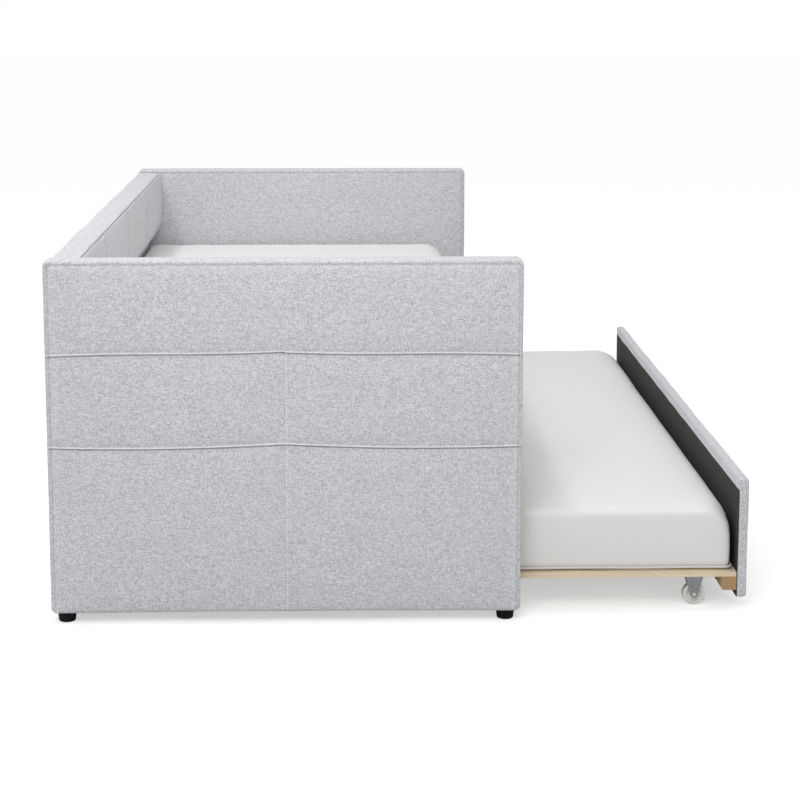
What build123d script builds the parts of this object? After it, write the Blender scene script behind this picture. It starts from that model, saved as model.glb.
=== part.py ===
from build123d import *
import os

os.makedirs("parts", exist_ok=True)

# An upholstered daybed with a second bed, the trundle, on casters under it.
# X runs along the bed's length, -Y to the front and +Z up. The origin is on the floor, under the
# middle of the whole object with its trundle rolled out as far as it stands here.

# ---------------------------------------------------------------- driving dimensions, in mm
# The bed as a whole
bed_length = 2058.0
arm_depth = 1105.0
bed_height = 865.0
pull_out = 553.0
foot_height = 25.0

# Fits
lay = 0.2
screw_clear = 0.1
running_clear = 0.05

# Arms: a timber frame between two hardboard skins, in a padded cover
arm_thick = 64.0
arm_padding = 9.0
edge_round = 8.0
hardboard_thick = 3.0
base_lining_thick = 1.0
arm_post_width = 90.0
arm_rail_height = 60.0
arm_low_rail_middles = (241.0, 426.0)
arm_upper_rail_drop = 222.0

# Feet
foot_radius = 22.5
foot_taper = 3.0
foot_bottom_round = 2.5
foot_inset = 33.0

# Back: a thin frame with a plywood face in a fabric cover, and a pad on its upper part
back_thick = 32.0
back_below_arms = 10.0
back_bottom = 30.0
back_fabric = 3.0
back_ply_thick = 6.0
back_side_clear = 0.5
back_stile_width = 90.0
back_rail_height = 70.0
back_rail_middles = (225.0, 595.0)
pad_thick = 41.0
pad_top_round = 9.0
pad_turn_height = 74.0
pad_end_round = 12.0

# Front rail, above the trundle's front
rail_height = 107.0
rail_thick = 45.0
rail_setback = 3.0
rail_padding = 12.0
rail_fabric = 2.0
rail_above_trundle = 10.0

# Slats of both beds
ledger_side = 33.0
bed_slat_count = 14
bed_slat_width = 70.0
bed_slat_thick = 18.0
bed_slat_top = 413.5
slat_end_clear = 1.0
strap_width = 12.0
strap_thick = 1.2
strap_inset = 2.0

# Mattresses
bed_mattress_setback = 71.0
bed_mattress_side_clear = 12.5
bed_mattress_thick = 200.0
trundle_mattress_side_clear = 8.0
trundle_mattress_thick = 150.0
mattress_corner = 70.0
mattress_edge = 24.0
mattress_lift = 0.3
mattress_gap = 2.0

# Trundle
trundle_side_clear = 6.0
trundle_front_bottom = 30.0
trundle_front_height = 293.0
trundle_front_thick = 25.0
trundle_front_padding = 5.0
trundle_front_hem = 4.0
trundle_front_wrap = 27.0
trundle_lining_thick = 2.0
trundle_mattress_front_gap = 6.0
trundle_board_thick = 12.0
trundle_end_board_width = 90.0
trundle_slat_width = 60.0
trundle_slats_per_side = 6
trundle_back_rail_thick = 18.0
trundle_back_rail_height = 101.0
trundle_back_clear = 32.0

# Casters
wheel_radius = 27.0
wheel_width = 20.0
wheel_hub_radius = 9.0
wheel_hub_width = 21.0
wheel_rim_inside = 19.5
wheel_web_width = 8.0
wheel_edge_round = 3.0
wheel_rib_count = 6
wheel_rib_thick = 2.0
wheel_rib_width = 15.0
fork_sheet = 2.5
fork_side_clear = 0.5
fork_top_width = 46.0
fork_end_radius = 8.5
plate_length = 62.0
plate_width = 53.0
caster_from_front = 95.0
caster_height = 82.0
axle_radius = 4.0
axle_head_radius = 5.5
axle_head_height = 2.0

# Screws and bolts, each as shank radius, length and head radius
slat_screw = (2.0, 34.0, 4.0)
trundle_slat_screw = (2.0, 30.0, 4.0)
ledger_screw = (2.5, 56.0, 5.0)
trundle_ledger_screw = (2.5, 48.0, 5.0)
foot_screw = (2.5, 45.0, 4.5)
foot_screw_head_height = 3.0
foot_counterbore_depth = 5.0
foot_counterbore_radius = 6.0
plate_screw = (1.9, 10.0, 4.0)
plate_screw_head_height = 1.8
plate_screw_spacing_x = 48.0
plate_screw_spacing_y = 38.0
gaps_per_ledger_screw = 3
bolt_radius = 3.0
bolt_length = 28.0
bolt_head_radius = 6.5
bolt_head_height = 4.0
insert_radius = 5.0
insert_length = 13.0

# Corner brackets, which hang the front rail and the back on the arms
bracket_leg = 50.0
bracket_height = 50.0
bracket_thick = 3.0
bracket_bolt_out = 30.0
bracket_bolt_pitch = 24.0
bracket_below_slats = 4.0
low_bracket_middle = 250.0

# ---------------------------------------------------------------- places worked out from them
rear_y = (arm_depth + pull_out) / 2
front_y = rear_y - arm_depth
inner_x = bed_length / 2 - arm_thick
arm_middle_x = inner_x + arm_thick / 2
arm_core_half = arm_thick / 2 - arm_padding - lay
arm_frame_half = arm_core_half - hardboard_thick - lay
arm_core_y = (front_y + arm_padding + lay, rear_y - arm_padding - lay)
arm_core_z = (foot_height + base_lining_thick + lay, bed_height - arm_padding - lay)
arm_rail_middles = (*arm_low_rail_middles, bed_height - arm_upper_rail_drop)

back_face_y = rear_y - back_thick
back_top = bed_height - back_below_arms
back_half = inner_x - back_side_clear
back_ply_front_y = back_face_y + back_fabric + lay
back_frame_front_y = back_ply_front_y + back_ply_thick + lay
back_frame_rear_y = rear_y - back_fabric - lay

trundle_front_top = trundle_front_bottom + trundle_front_height
rail_z = (trundle_front_top + rail_above_trundle, trundle_front_top + rail_above_trundle + rail_height)
rail_face_y = front_y + rail_setback
rail_inner_y = rail_face_y + rail_thick
rail_board_y = (rail_face_y + rail_padding + lay, rail_inner_y - rail_fabric - lay)

bed_slat_z = (bed_slat_top - bed_slat_thick, bed_slat_top)
bed_ledger_z = (bed_slat_z[0] - lay - ledger_side, bed_slat_z[0] - lay)
bed_ledger_half = inner_x - bracket_leg - bracket_thick
front_ledger_y = (rail_inner_y + lay, rail_inner_y + lay + ledger_side)
back_ledger_y = (back_face_y - lay - ledger_side, back_face_y - lay)
bed_slat_y = (rail_inner_y + slat_end_clear, back_face_y - slat_end_clear)
bed_mattress_z0 = bed_slat_top + strap_thick + mattress_lift
bed_mattress_top = bed_mattress_z0 + bed_mattress_thick
bed_mattress_y = (front_y + bed_mattress_setback, back_face_y - mattress_gap)
bed_mattress_half = inner_x - bed_mattress_side_clear

trundle_face_y = front_y - pull_out
trundle_half = inner_x - trundle_side_clear
trundle_inner_y = trundle_face_y + trundle_front_thick
trundle_board_z = (caster_height, caster_height + trundle_board_thick)
trundle_ledger_z = (caster_height - lay - ledger_side, caster_height - lay)
trundle_rear_y = back_face_y - pull_out - trundle_back_clear
trundle_back_y = trundle_rear_y - trundle_back_rail_thick
trundle_mattress_y = (trundle_inner_y + trundle_mattress_front_gap, trundle_back_y - mattress_gap)
trundle_mattress_half = trundle_half - trundle_mattress_side_clear
trundle_board_y = (trundle_inner_y + slat_end_clear, trundle_back_y - slat_end_clear)
trundle_mattress_z0 = trundle_board_z[1] + mattress_lift
trundle_core_y = (trundle_face_y + trundle_front_padding, trundle_inner_y - trundle_lining_thick - lay)

sides = {"left": -1, "right": 1}
LEFT, RIGHT = (-1, 0, 0), (1, 0, 0)
FRONT, REAR = (0, -1, 0), (0, 1, 0)
DOWN, UP = (0, 0, -1), (0, 0, 1)
FROM_START = (Align.CENTER, Align.CENTER, Align.MIN)


# ---------------------------------------------------------------- common ways of cutting
def block(x, y, z, mode=Mode.ADD):
    """A square-cut piece between two values of X, of Y and of Z."""
    with Locations(((x[0] + x[1]) / 2, (y[0] + y[1]) / 2, (z[0] + z[1]) / 2)):
        Box(abs(x[1] - x[0]), abs(y[1] - y[0]), abs(z[1] - z[0]), mode=mode)


def rods(spots, direction, radius, length, mode=Mode.ADD):
    """A round bar, or a bored hole, that starts at each spot and runs along the direction."""
    with Locations(*[Plane(origin=spot, z_dir=direction).location for spot in spots]):
        Cylinder(radius, length, align=FROM_START, mode=mode)


def flush_screws(spots, direction, size, clear=0.0, mode=Mode.ADD):
    """Countersunk screws with their heads level with each spot, or the holes for them."""
    radius, length, head_radius = size
    rods(spots, direction, radius + clear, length + clear, mode)
    with Locations(*[Plane(origin=spot, z_dir=direction).location for spot in spots]):
        Cone(head_radius + clear, radius + clear, head_radius - radius, align=FROM_START, mode=mode)


def cut_flush_screws(spots, direction, size):
    """Holes that the given countersunk screws sit in."""
    flush_screws(spots, direction, size, screw_clear, Mode.SUBTRACT)


def even_steps(low, high, count):
    """That many values, evenly spread from low to high."""
    return [low + (high - low) * step / (count - 1) for step in range(count)]


# ---------------------------------------------------------------- where the fasteners go
# Each corner bracket: its side, the face that it is bolted to, which way it reaches into the bed
# and the height of its middle.
bracket_middle = bed_slat_z[0] - bracket_below_slats - bracket_height / 2
bracket_places = [
    (side, face_y, inward, middle)
    for side in sides.values()
    for face_y, inward, middle in (
        (rail_inner_y, 1, bracket_middle),
        (back_face_y, -1, bracket_middle),
        (back_face_y, -1, low_bracket_middle),
    )
]


def bolt_heights(middle):
    """The heights of the two bolts in one leg of a bracket."""
    return (middle - bracket_bolt_pitch / 2, middle + bracket_bolt_pitch / 2)


def arm_bolt_spots(side, x):
    """Points at the given X on the axes of the bolts that enter the arm on that side."""
    return [
        (side * x, face_y + inward * bracket_bolt_out, z)
        for place_side, face_y, inward, middle in bracket_places
        if place_side == side
        for z in bolt_heights(middle)
    ]


def cross_bolt_spots(inward, y):
    """Points at the given Y on the axes of the bolts that enter the front rail (1) or the back (-1)."""
    return [
        (side * (inner_x - bracket_bolt_out), y, z)
        for side, face_y, place_inward, middle in bracket_places
        if place_inward == inward
        for z in bolt_heights(middle)
    ]


foot_y = (front_y + foot_inset, rear_y - foot_inset)
foot_screw_z = foot_counterbore_depth

slat_reach = bed_ledger_half - bed_slat_width / 2
bed_slat_x = even_steps(-slat_reach, slat_reach, bed_slat_count)
slat_gap_middles = [(x + next_x) / 2 for x, next_x in zip(bed_slat_x, bed_slat_x[1:])]
ledger_screw_x = slat_gap_middles[::gaps_per_ledger_screw]
bed_ledger_middle_z = sum(bed_ledger_z) / 2
front_ledger_screws = [(x, front_ledger_y[1], bed_ledger_middle_z) for x in ledger_screw_x]
back_ledger_screws = [(x, back_ledger_y[0], bed_ledger_middle_z) for x in ledger_screw_x]

front_slat_screws = [(x, sum(front_ledger_y) / 2 + strap_inset, bed_slat_top) for x in bed_slat_x]
back_slat_screws = [(x, sum(back_ledger_y) / 2 - strap_inset, bed_slat_top) for x in bed_slat_x]

trundle_front_ledger_y = (trundle_inner_y + lay, trundle_inner_y + lay + ledger_side)
trundle_back_ledger_y = (trundle_back_y - lay - ledger_side, trundle_back_y - lay)

# Between the middle board and each end board the slats are evenly spaced. The ledgers' own screws
# are in every second space.
trundle_end_board_x = trundle_half - trundle_end_board_width / 2
trundle_board_middles = [-trundle_end_board_x, 0.0, trundle_end_board_x]
slat_bay = trundle_half - 1.5 * trundle_end_board_width
slat_gap = (slat_bay - trundle_slats_per_side * trundle_slat_width) / (trundle_slats_per_side + 1)
slat_pitch = trundle_slat_width + slat_gap
first_slat_x = (trundle_end_board_width + trundle_slat_width) / 2 + slat_gap
first_gap_x = (trundle_end_board_width + slat_gap) / 2
trundle_slat_x = [
    side * (first_slat_x + step * slat_pitch)
    for side in sides.values()
    for step in range(trundle_slats_per_side)
]
trundle_gap_x = [
    side * (first_gap_x + step * slat_pitch)
    for side in sides.values()
    for step in range(0, trundle_slats_per_side + 1, 2)
]
trundle_ledger_middle_z = sum(trundle_ledger_z) / 2
trundle_front_ledger_screws = [
    (x, trundle_front_ledger_y[1], trundle_ledger_middle_z) for x in trundle_gap_x
]
trundle_back_ledger_screws = [
    (x, trundle_back_ledger_y[0], trundle_ledger_middle_z) for x in trundle_gap_x
]
trundle_screw_y = (sum(trundle_front_ledger_y) / 2 + strap_width / 2,
                   sum(trundle_back_ledger_y) / 2 - strap_width / 2)


def board_screw_spots(middles):
    """Points on top of the trundle's boards with the given middles, over both ledgers."""
    return [(x, y, trundle_board_z[1]) for x in middles for y in trundle_screw_y]


# Each caster stands under the middle of a board, at its front or its rear.
caster_y = (trundle_inner_y + caster_from_front, trundle_rear_y - caster_from_front)
casters = {
    f"{end}_{place}": (x, y)
    for end, y in zip(("front", "rear"), caster_y)
    for place, x in zip(("left", "middle", "right"), trundle_board_middles)
}
plate_z = (caster_height - lay - fork_sheet, caster_height - lay)


def plate_screw_spots(x, y, z):
    """The four screw places of the caster plate over the given point."""
    return [
        (x + across * plate_screw_spacing_x / 2, y + along * plate_screw_spacing_y / 2, z)
        for across in (-1, 1)
        for along in (-1, 1)
    ]


# ================================================================ the daybed
# The two arms are alike. Each has a frame of two posts with five rails between them, glued up,
# a hardboard skin on each face, a padded cover pulled down over it and a thin lining under it.
for name, side in sides.items():
    frame_x = (side * arm_middle_x - arm_frame_half, side * arm_middle_x + arm_frame_half)
    core_x = (side * arm_middle_x - arm_core_half, side * arm_middle_x + arm_core_half)
    cavity_half = arm_core_half + lay
    cavity_x = (side * arm_middle_x - cavity_half, side * arm_middle_x + cavity_half)
    post_face_x = arm_middle_x - arm_frame_half
    foot_spots = [(side * arm_middle_x, y, foot_screw_z) for y in foot_y]

    with BuildPart() as arm_frame:
        front_post_y = (arm_core_y[0], arm_core_y[0] + arm_post_width)
        rear_post_y = (arm_core_y[1] - arm_post_width, arm_core_y[1])
        block(frame_x, front_post_y, arm_core_z)
        block(frame_x, rear_post_y, arm_core_z)
        rail_y = (front_post_y[1] + lay, rear_post_y[0] - lay)
        rail_bottoms = [arm_core_z[0], arm_core_z[1] - arm_rail_height]
        rail_bottoms += [middle - arm_rail_height / 2 for middle in arm_rail_middles]
        for bottom in rail_bottoms:
            block(frame_x, rail_y, (bottom, bottom + arm_rail_height))
        rods(foot_spots, UP, foot_screw[0] + screw_clear, foot_screw[1] + screw_clear, Mode.SUBTRACT)
        insert_spots = arm_bolt_spots(side, post_face_x)
        rods(insert_spots, (side, 0, 0), insert_radius + screw_clear, insert_length, Mode.SUBTRACT)
    arm_frame.part.label = f"{name}_arm_frame"
    export_step(arm_frame.part, f"parts/{name}_arm_frame.step")

    with BuildPart() as arm_skins:
        for skin_x in ((core_x[0], frame_x[0] - lay), (frame_x[1] + lay, core_x[1])):
            block(skin_x, arm_core_y, arm_core_z)
        bolt_starts = arm_bolt_spots(side, inner_x)
        rods(bolt_starts, (side, 0, 0), bolt_radius + screw_clear, bolt_length, Mode.SUBTRACT)
    arm_skins.part.label = f"{name}_arm_skins"
    export_step(arm_skins.part, f"parts/{name}_arm_skins.step")

    with BuildPart() as arm_cover:
        block((side * inner_x, side * bed_length / 2), (front_y, rear_y), (foot_height, bed_height))
        hem_edges = arm_cover.faces().sort_by(Axis.Z)[0].edges()
        fillet([edge for edge in arm_cover.edges() if edge not in hem_edges], radius=edge_round)
        cavity_y = (front_y + arm_padding, rear_y - arm_padding)
        block(cavity_x, cavity_y, (foot_height, bed_height - arm_padding), Mode.SUBTRACT)
        rods(bolt_starts, (side, 0, 0), bolt_radius + screw_clear, bolt_length, Mode.SUBTRACT)
    arm_cover.part.label = f"{name}_arm_cover"
    export_step(arm_cover.part, f"parts/{name}_arm_cover.step")

    with BuildPart() as arm_base_lining:
        block(core_x, arm_core_y, (foot_height, foot_height + base_lining_thick))
        rods(foot_spots, UP, foot_screw[0] + screw_clear, foot_screw[1], Mode.SUBTRACT)
    arm_base_lining.part.label = f"{name}_arm_base_lining"
    export_step(arm_base_lining.part, f"parts/{name}_arm_base_lining.step")

    # A moulded foot under each end of the arm: wider at the top, with a recess for its screw.
    for end, y in zip(("front", "rear"), foot_y):
        with BuildPart() as foot:
            with Locations((side * arm_middle_x, y, 0)):
                Cone(foot_radius - foot_taper, foot_radius, foot_height - lay, align=FROM_START)
            fillet(foot.edges().sort_by(Axis.Z)[0], radius=foot_bottom_round)
            with Locations(Plane(origin=(side * arm_middle_x, y, 0), z_dir=DOWN)):
                CounterBoreHole(foot_screw[0] + screw_clear, foot_counterbore_radius,
                                foot_counterbore_depth)
        foot.part.label = f"{end}_{name}_foot"
        export_step(foot.part, f"parts/{end}_{name}_foot.step")

with BuildPart() as foot_screws:
    foot_screw_spots = [
        (side * arm_middle_x, y, foot_screw_z - screw_clear) for side in sides.values() for y in foot_y
    ]
    rods(foot_screw_spots, UP, foot_screw[0], foot_screw[1])
    rods(foot_screw_spots, DOWN, foot_screw[2], foot_screw_head_height)
foot_screws.part.label = "foot_screws"
export_step(foot_screws.part, "parts/foot_screws.step")

# The back stands between the arms. Its frame has stiles at the ends and two between, with rails
# at the top and the bottom, at the height of the slat ledger and above and below that.
with BuildPart() as back_frame:
    frame_y = (back_frame_front_y, back_frame_rear_y)
    frame_z = (back_bottom + back_fabric + lay, back_top - back_fabric - lay)
    end_stile_x = back_half - back_stile_width
    inner_stile_x = back_half / 3
    stile_spans = [(-back_half, -end_stile_x), (end_stile_x, back_half)]
    stile_spans += [
        (middle - back_stile_width / 2, middle + back_stile_width / 2)
        for middle in (-inner_stile_x, inner_stile_x)
    ]
    for stile_x in stile_spans:
        block(stile_x, frame_y, frame_z)
    rail_middles = [*back_rail_middles, bed_ledger_middle_z]
    rail_bottoms = [frame_z[0], frame_z[1] - back_rail_height]
    rail_bottoms += [middle - back_rail_height / 2 for middle in rail_middles]
    stile_spans.sort()
    for left_stile, right_stile in zip(stile_spans, stile_spans[1:]):
        for bottom in rail_bottoms:
            bay_x = (left_stile[1] + lay, right_stile[0] - lay)
            block(bay_x, frame_y, (bottom, bottom + back_rail_height))
    insert_spots = cross_bolt_spots(-1, back_ply_front_y)
    rods(insert_spots, REAR, insert_radius + screw_clear, insert_length + screw_clear, Mode.SUBTRACT)
    rods(insert_spots, REAR, bolt_radius + screw_clear, bolt_length - bracket_thick - back_fabric,
         Mode.SUBTRACT)
    cut_flush_screws(back_ledger_screws, REAR, ledger_screw)
back_frame.part.label = "back_frame"
export_step(back_frame.part, "parts/back_frame.step")

with BuildPart() as back_board:
    block((-back_half, back_half), (back_ply_front_y, back_ply_front_y + back_ply_thick), frame_z)
    rods(insert_spots, REAR, insert_radius + screw_clear, insert_length, Mode.SUBTRACT)
    cut_flush_screws(back_ledger_screws, REAR, ledger_screw)
back_board.part.label = "back_board"
export_step(back_board.part, "parts/back_board.step")

# The fabric goes round the back like a sleeve that is open at the arms.
with BuildPart() as back_cover:
    with BuildSketch(Plane.YZ.offset(-back_half)):
        with Locations((rear_y - back_thick / 2, (back_bottom + back_top) / 2)):
            RectangleRounded(back_thick, back_top - back_bottom, back_fabric)
            Rectangle(back_thick - 2 * back_fabric, back_top - back_bottom - 2 * back_fabric,
                      mode=Mode.SUBTRACT)
    extrude(amount=2 * back_half)
    bolt_starts = cross_bolt_spots(-1, back_face_y)
    rods(bolt_starts, REAR, bolt_radius + screw_clear, back_thick / 2, Mode.SUBTRACT)
    back_fabric_screws = [(x, back_face_y, z) for x, y, z in back_ledger_screws]
    rods(back_fabric_screws, REAR, ledger_screw[0] + screw_clear, back_thick / 2, Mode.SUBTRACT)
back_cover.part.label = "back_cover"
export_step(back_cover.part, "parts/back_cover.step")

# The padded upper back: flat at the top and the front, and turned in under itself above the mattress.
with BuildPart() as back_pad:
    pad_rear_y = back_face_y - lay
    pad_front_y = back_face_y - pad_thick
    pad_bottom = bed_mattress_top + mattress_gap
    pad_turn_z = pad_bottom + pad_turn_height
    with BuildSketch(Plane.YZ.offset(-back_half)):
        with BuildLine():
            Line((pad_rear_y, pad_bottom), (pad_rear_y, back_top))
            Line((pad_rear_y, back_top), (pad_front_y + pad_top_round, back_top))
            RadiusArc((pad_front_y + pad_top_round, back_top), (pad_front_y, back_top - pad_top_round),
                      -pad_top_round)
            Line((pad_front_y, back_top - pad_top_round), (pad_front_y, pad_turn_z))
            Spline((pad_front_y, pad_turn_z), (pad_rear_y, pad_bottom), tangents=((0, -1), (1, -1)))
        make_face()
    extrude(amount=2 * back_half)
    end_faces = back_pad.faces().filter_by(Axis.X)
    fillet(end_faces.edges().group_by(Axis.Y)[0], radius=pad_end_round)
back_pad.part.label = "back_pad"
export_step(back_pad.part, "parts/back_pad.step")

# The front rail is one board in a sleeve of fabric that is padded on its front.
with BuildPart() as front_rail:
    rail_board_z = (rail_z[0] + rail_fabric + lay, rail_z[1] - rail_padding / 2 - lay)
    block((-back_half, back_half), rail_board_y, rail_board_z)
    insert_spots = cross_bolt_spots(1, rail_board_y[1])
    rods(insert_spots, FRONT, insert_radius + screw_clear, insert_length + screw_clear, Mode.SUBTRACT)
    rods(insert_spots, FRONT, bolt_radius + screw_clear, bolt_length, Mode.SUBTRACT)
    cut_flush_screws(front_ledger_screws, FRONT, ledger_screw)
front_rail.part.label = "front_rail"
export_step(front_rail.part, "parts/front_rail.step")

with BuildPart() as front_rail_cover:
    block((-back_half, back_half), (rail_face_y, rail_inner_y), rail_z)
    long_edges = front_rail_cover.edges().filter_by(Axis.X)
    fillet(long_edges.group_by(Axis.Y)[0], radius=edge_round)
    sleeve_y = (rail_board_y[0] - lay, rail_board_y[1] + lay)
    sleeve_z = (rail_board_z[0] - lay, rail_board_z[1] + lay)
    block((-back_half, back_half), sleeve_y, sleeve_z, Mode.SUBTRACT)
    bolt_starts = cross_bolt_spots(1, rail_inner_y)
    rods(bolt_starts, FRONT, bolt_radius + screw_clear, rail_thick / 2, Mode.SUBTRACT)
    rail_fabric_screws = [(x, rail_inner_y, z) for x, y, z in front_ledger_screws]
    rods(rail_fabric_screws, FRONT, ledger_screw[0] + screw_clear, rail_thick / 2, Mode.SUBTRACT)
front_rail_cover.part.label = "front_rail_cover"
export_step(front_rail_cover.part, "parts/front_rail_cover.step")

# The ledgers are square timbers that carry the ends of the slats.
with BuildPart() as front_slat_ledger:
    block((-bed_ledger_half, bed_ledger_half), front_ledger_y, bed_ledger_z)
    cut_flush_screws(front_ledger_screws, FRONT, ledger_screw)
    cut_flush_screws(front_slat_screws, DOWN, slat_screw)
front_slat_ledger.part.label = "front_slat_ledger"
export_step(front_slat_ledger.part, "parts/front_slat_ledger.step")

with BuildPart() as back_slat_ledger:
    block((-bed_ledger_half, bed_ledger_half), back_ledger_y, bed_ledger_z)
    cut_flush_screws(back_ledger_screws, REAR, ledger_screw)
    cut_flush_screws(back_slat_screws, DOWN, slat_screw)
back_slat_ledger.part.label = "back_slat_ledger"
export_step(back_slat_ledger.part, "parts/back_slat_ledger.step")

with BuildPart() as ledger_screws:
    flush_screws(front_ledger_screws, FRONT, ledger_screw)
    flush_screws(back_ledger_screws, REAR, ledger_screw)
ledger_screws.part.label = "ledger_screws"
export_step(ledger_screws.part, "parts/ledger_screws.step")

with BuildPart() as bed_slats:
    for x in bed_slat_x:
        block((x - bed_slat_width / 2, x + bed_slat_width / 2), bed_slat_y, bed_slat_z)
    cut_flush_screws(front_slat_screws + back_slat_screws, DOWN, slat_screw)
bed_slats.part.label = "bed_slats"
export_step(bed_slats.part, "parts/bed_slats.step")

with BuildPart() as slat_screws:
    flush_screws(front_slat_screws + back_slat_screws, DOWN, slat_screw)
slat_screws.part.label = "slat_screws"
export_step(slat_screws.part, "parts/slat_screws.step")

# Two webbing straps hold the slats at their spacing.
with BuildPart() as bed_slat_straps:
    strap_half = bed_slat_x[-1] + bed_slat_width / 2
    strap_z = (bed_slat_top + lay / 2, bed_slat_top + strap_thick)
    front_strap_y0 = front_ledger_y[1] + strap_inset
    rear_strap_y0 = back_ledger_y[0] - strap_inset - strap_width
    for strap_y0 in (front_strap_y0, rear_strap_y0):
        block((-strap_half, strap_half), (strap_y0, strap_y0 + strap_width), strap_z)
bed_slat_straps.part.label = "bed_slat_straps"
export_step(bed_slat_straps.part, "parts/bed_slat_straps.step")

with BuildPart() as bed_mattress:
    with BuildSketch(Plane.XY.offset(bed_mattress_z0)):
        with Locations((0, sum(bed_mattress_y) / 2)):
            bed_mattress_width = bed_mattress_y[1] - bed_mattress_y[0]
            RectangleRounded(2 * bed_mattress_half, bed_mattress_width, mattress_corner)
    extrude(amount=bed_mattress_thick)
    fillet(bed_mattress.faces().filter_by(Axis.Z).edges(), radius=mattress_edge)
bed_mattress.part.label = "bed_mattress"
export_step(bed_mattress.part, "parts/bed_mattress.step")

# Steel angle brackets with their bolts, and the threaded inserts that the bolts go into.
with BuildPart() as corner_brackets:
    for side, face_y, inward, middle in bracket_places:
        bracket_z = (middle - bracket_height / 2, middle + bracket_height / 2)
        outer_x = side * (inner_x - lay)
        near_y = face_y + inward * lay
        flat_y = (near_y, near_y + inward * bracket_thick)
        reach_y = (near_y, near_y + inward * bracket_leg)
        block((outer_x, outer_x - side * bracket_leg), flat_y, bracket_z)
        block((outer_x, outer_x - side * bracket_thick), reach_y, bracket_z)
    hole_groups = [(arm_bolt_spots(side, inner_x), (-side, 0, 0)) for side in sides.values()]
    hole_groups.append((cross_bolt_spots(1, rail_inner_y), REAR))
    hole_groups.append((cross_bolt_spots(-1, back_face_y), FRONT))
    for spots, outwards in hole_groups:
        rods(spots, outwards, bolt_radius + screw_clear, bracket_thick + 2 * lay, Mode.SUBTRACT)
corner_brackets.part.label = "corner_brackets"
export_step(corner_brackets.part, "parts/corner_brackets.step")

with BuildPart() as bracket_bolts:
    head_stand = 2 * lay + bracket_thick
    bolt_groups = [
        (arm_bolt_spots(side, inner_x - head_stand), (side, 0, 0), (-side, 0, 0))
        for side in sides.values()
    ]
    bolt_groups.append((cross_bolt_spots(1, rail_inner_y + head_stand), FRONT, REAR))
    bolt_groups.append((cross_bolt_spots(-1, back_face_y - head_stand), REAR, FRONT))
    for spots, inwards, outwards in bolt_groups:
        rods(spots, inwards, bolt_radius, bolt_length)
        rods(spots, outwards, bolt_head_radius, bolt_head_height)
bracket_bolts.part.label = "bracket_bolts"
export_step(bracket_bolts.part, "parts/bracket_bolts.step")

with BuildPart() as threaded_inserts:
    insert_groups = [
        (arm_bolt_spots(side, arm_middle_x - arm_frame_half), (side, 0, 0)) for side in sides.values()
    ]
    insert_groups.append((cross_bolt_spots(1, rail_board_y[1]), FRONT))
    insert_groups.append((cross_bolt_spots(-1, back_ply_front_y), REAR))
    for spots, inwards in insert_groups:
        rods(spots, inwards, insert_radius, insert_length)
        rods(spots, inwards, bolt_radius + screw_clear, insert_length, Mode.SUBTRACT)
threaded_inserts.part.label = "threaded_inserts"
export_step(threaded_inserts.part, "parts/threaded_inserts.step")

# ================================================================ the trundle
# Its front is a board in a thin padded cover that wraps over the top onto the inner face, where a
# black lining covers the rest.
with BuildPart() as trundle_front_board:
    core_half = trundle_half - trundle_front_hem - lay
    core_z = (trundle_front_bottom + trundle_front_hem + lay, trundle_front_top - trundle_front_hem - lay)
    block((-core_half, core_half), (trundle_core_y[0] + lay, trundle_core_y[1]), core_z)
    cut_flush_screws(trundle_front_ledger_screws, FRONT, trundle_ledger_screw)
trundle_front_board.part.label = "trundle_front_board"
export_step(trundle_front_board.part, "parts/trundle_front_board.step")

with BuildPart() as trundle_front_cover:
    front_z = (trundle_front_bottom, trundle_front_top)
    block((-trundle_half, trundle_half), (trundle_face_y, trundle_inner_y), front_z)
    face_edges = trundle_front_cover.faces().sort_by(Axis.Y)[0].edges()
    fillet(face_edges, radius=trundle_front_padding)
    pocket_half = trundle_half - trundle_front_hem
    pocket_y = (trundle_core_y[0], trundle_inner_y - trundle_lining_thick)
    pocket_z = (trundle_front_bottom + trundle_front_hem, trundle_front_top - trundle_front_hem)
    block((-pocket_half, pocket_half), pocket_y, pocket_z, Mode.SUBTRACT)
    window_z = (trundle_front_bottom, trundle_front_top - trundle_front_wrap)
    window_y = (trundle_inner_y - trundle_lining_thick, trundle_inner_y)
    block((-trundle_half, trundle_half), window_y, window_z, Mode.SUBTRACT)
trundle_front_cover.part.label = "trundle_front_cover"
export_step(trundle_front_cover.part, "parts/trundle_front_cover.step")

with BuildPart() as trundle_front_lining:
    lining_y = (trundle_inner_y - trundle_lining_thick + lay / 2, trundle_inner_y)
    lining_z = (trundle_front_bottom + lay, trundle_front_top - trundle_front_wrap - lay)
    block((-trundle_half + lay, trundle_half - lay), lining_y, lining_z)
    lining_screws = [(x, trundle_inner_y, z) for x, y, z in trundle_front_ledger_screws]
    rods(lining_screws, FRONT, trundle_ledger_screw[0] + screw_clear, trundle_front_thick, Mode.SUBTRACT)
trundle_front_lining.part.label = "trundle_front_lining"
export_step(trundle_front_lining.part, "parts/trundle_front_lining.step")

with BuildPart() as trundle_front_ledger:
    block((-trundle_half, trundle_half), trundle_front_ledger_y, trundle_ledger_z)
    cut_flush_screws(trundle_front_ledger_screws, FRONT, trundle_ledger_screw)
    board_spots = board_screw_spots(trundle_board_middles + trundle_slat_x)
    cut_flush_screws(board_spots, DOWN, trundle_slat_screw)
trundle_front_ledger.part.label = "trundle_front_ledger"
export_step(trundle_front_ledger.part, "parts/trundle_front_ledger.step")

with BuildPart() as trundle_back_ledger:
    block((-trundle_half, trundle_half), trundle_back_ledger_y, trundle_ledger_z)
    cut_flush_screws(trundle_back_ledger_screws, REAR, trundle_ledger_screw)
    cut_flush_screws(board_spots, DOWN, trundle_slat_screw)
trundle_back_ledger.part.label = "trundle_back_ledger"
export_step(trundle_back_ledger.part, "parts/trundle_back_ledger.step")

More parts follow.
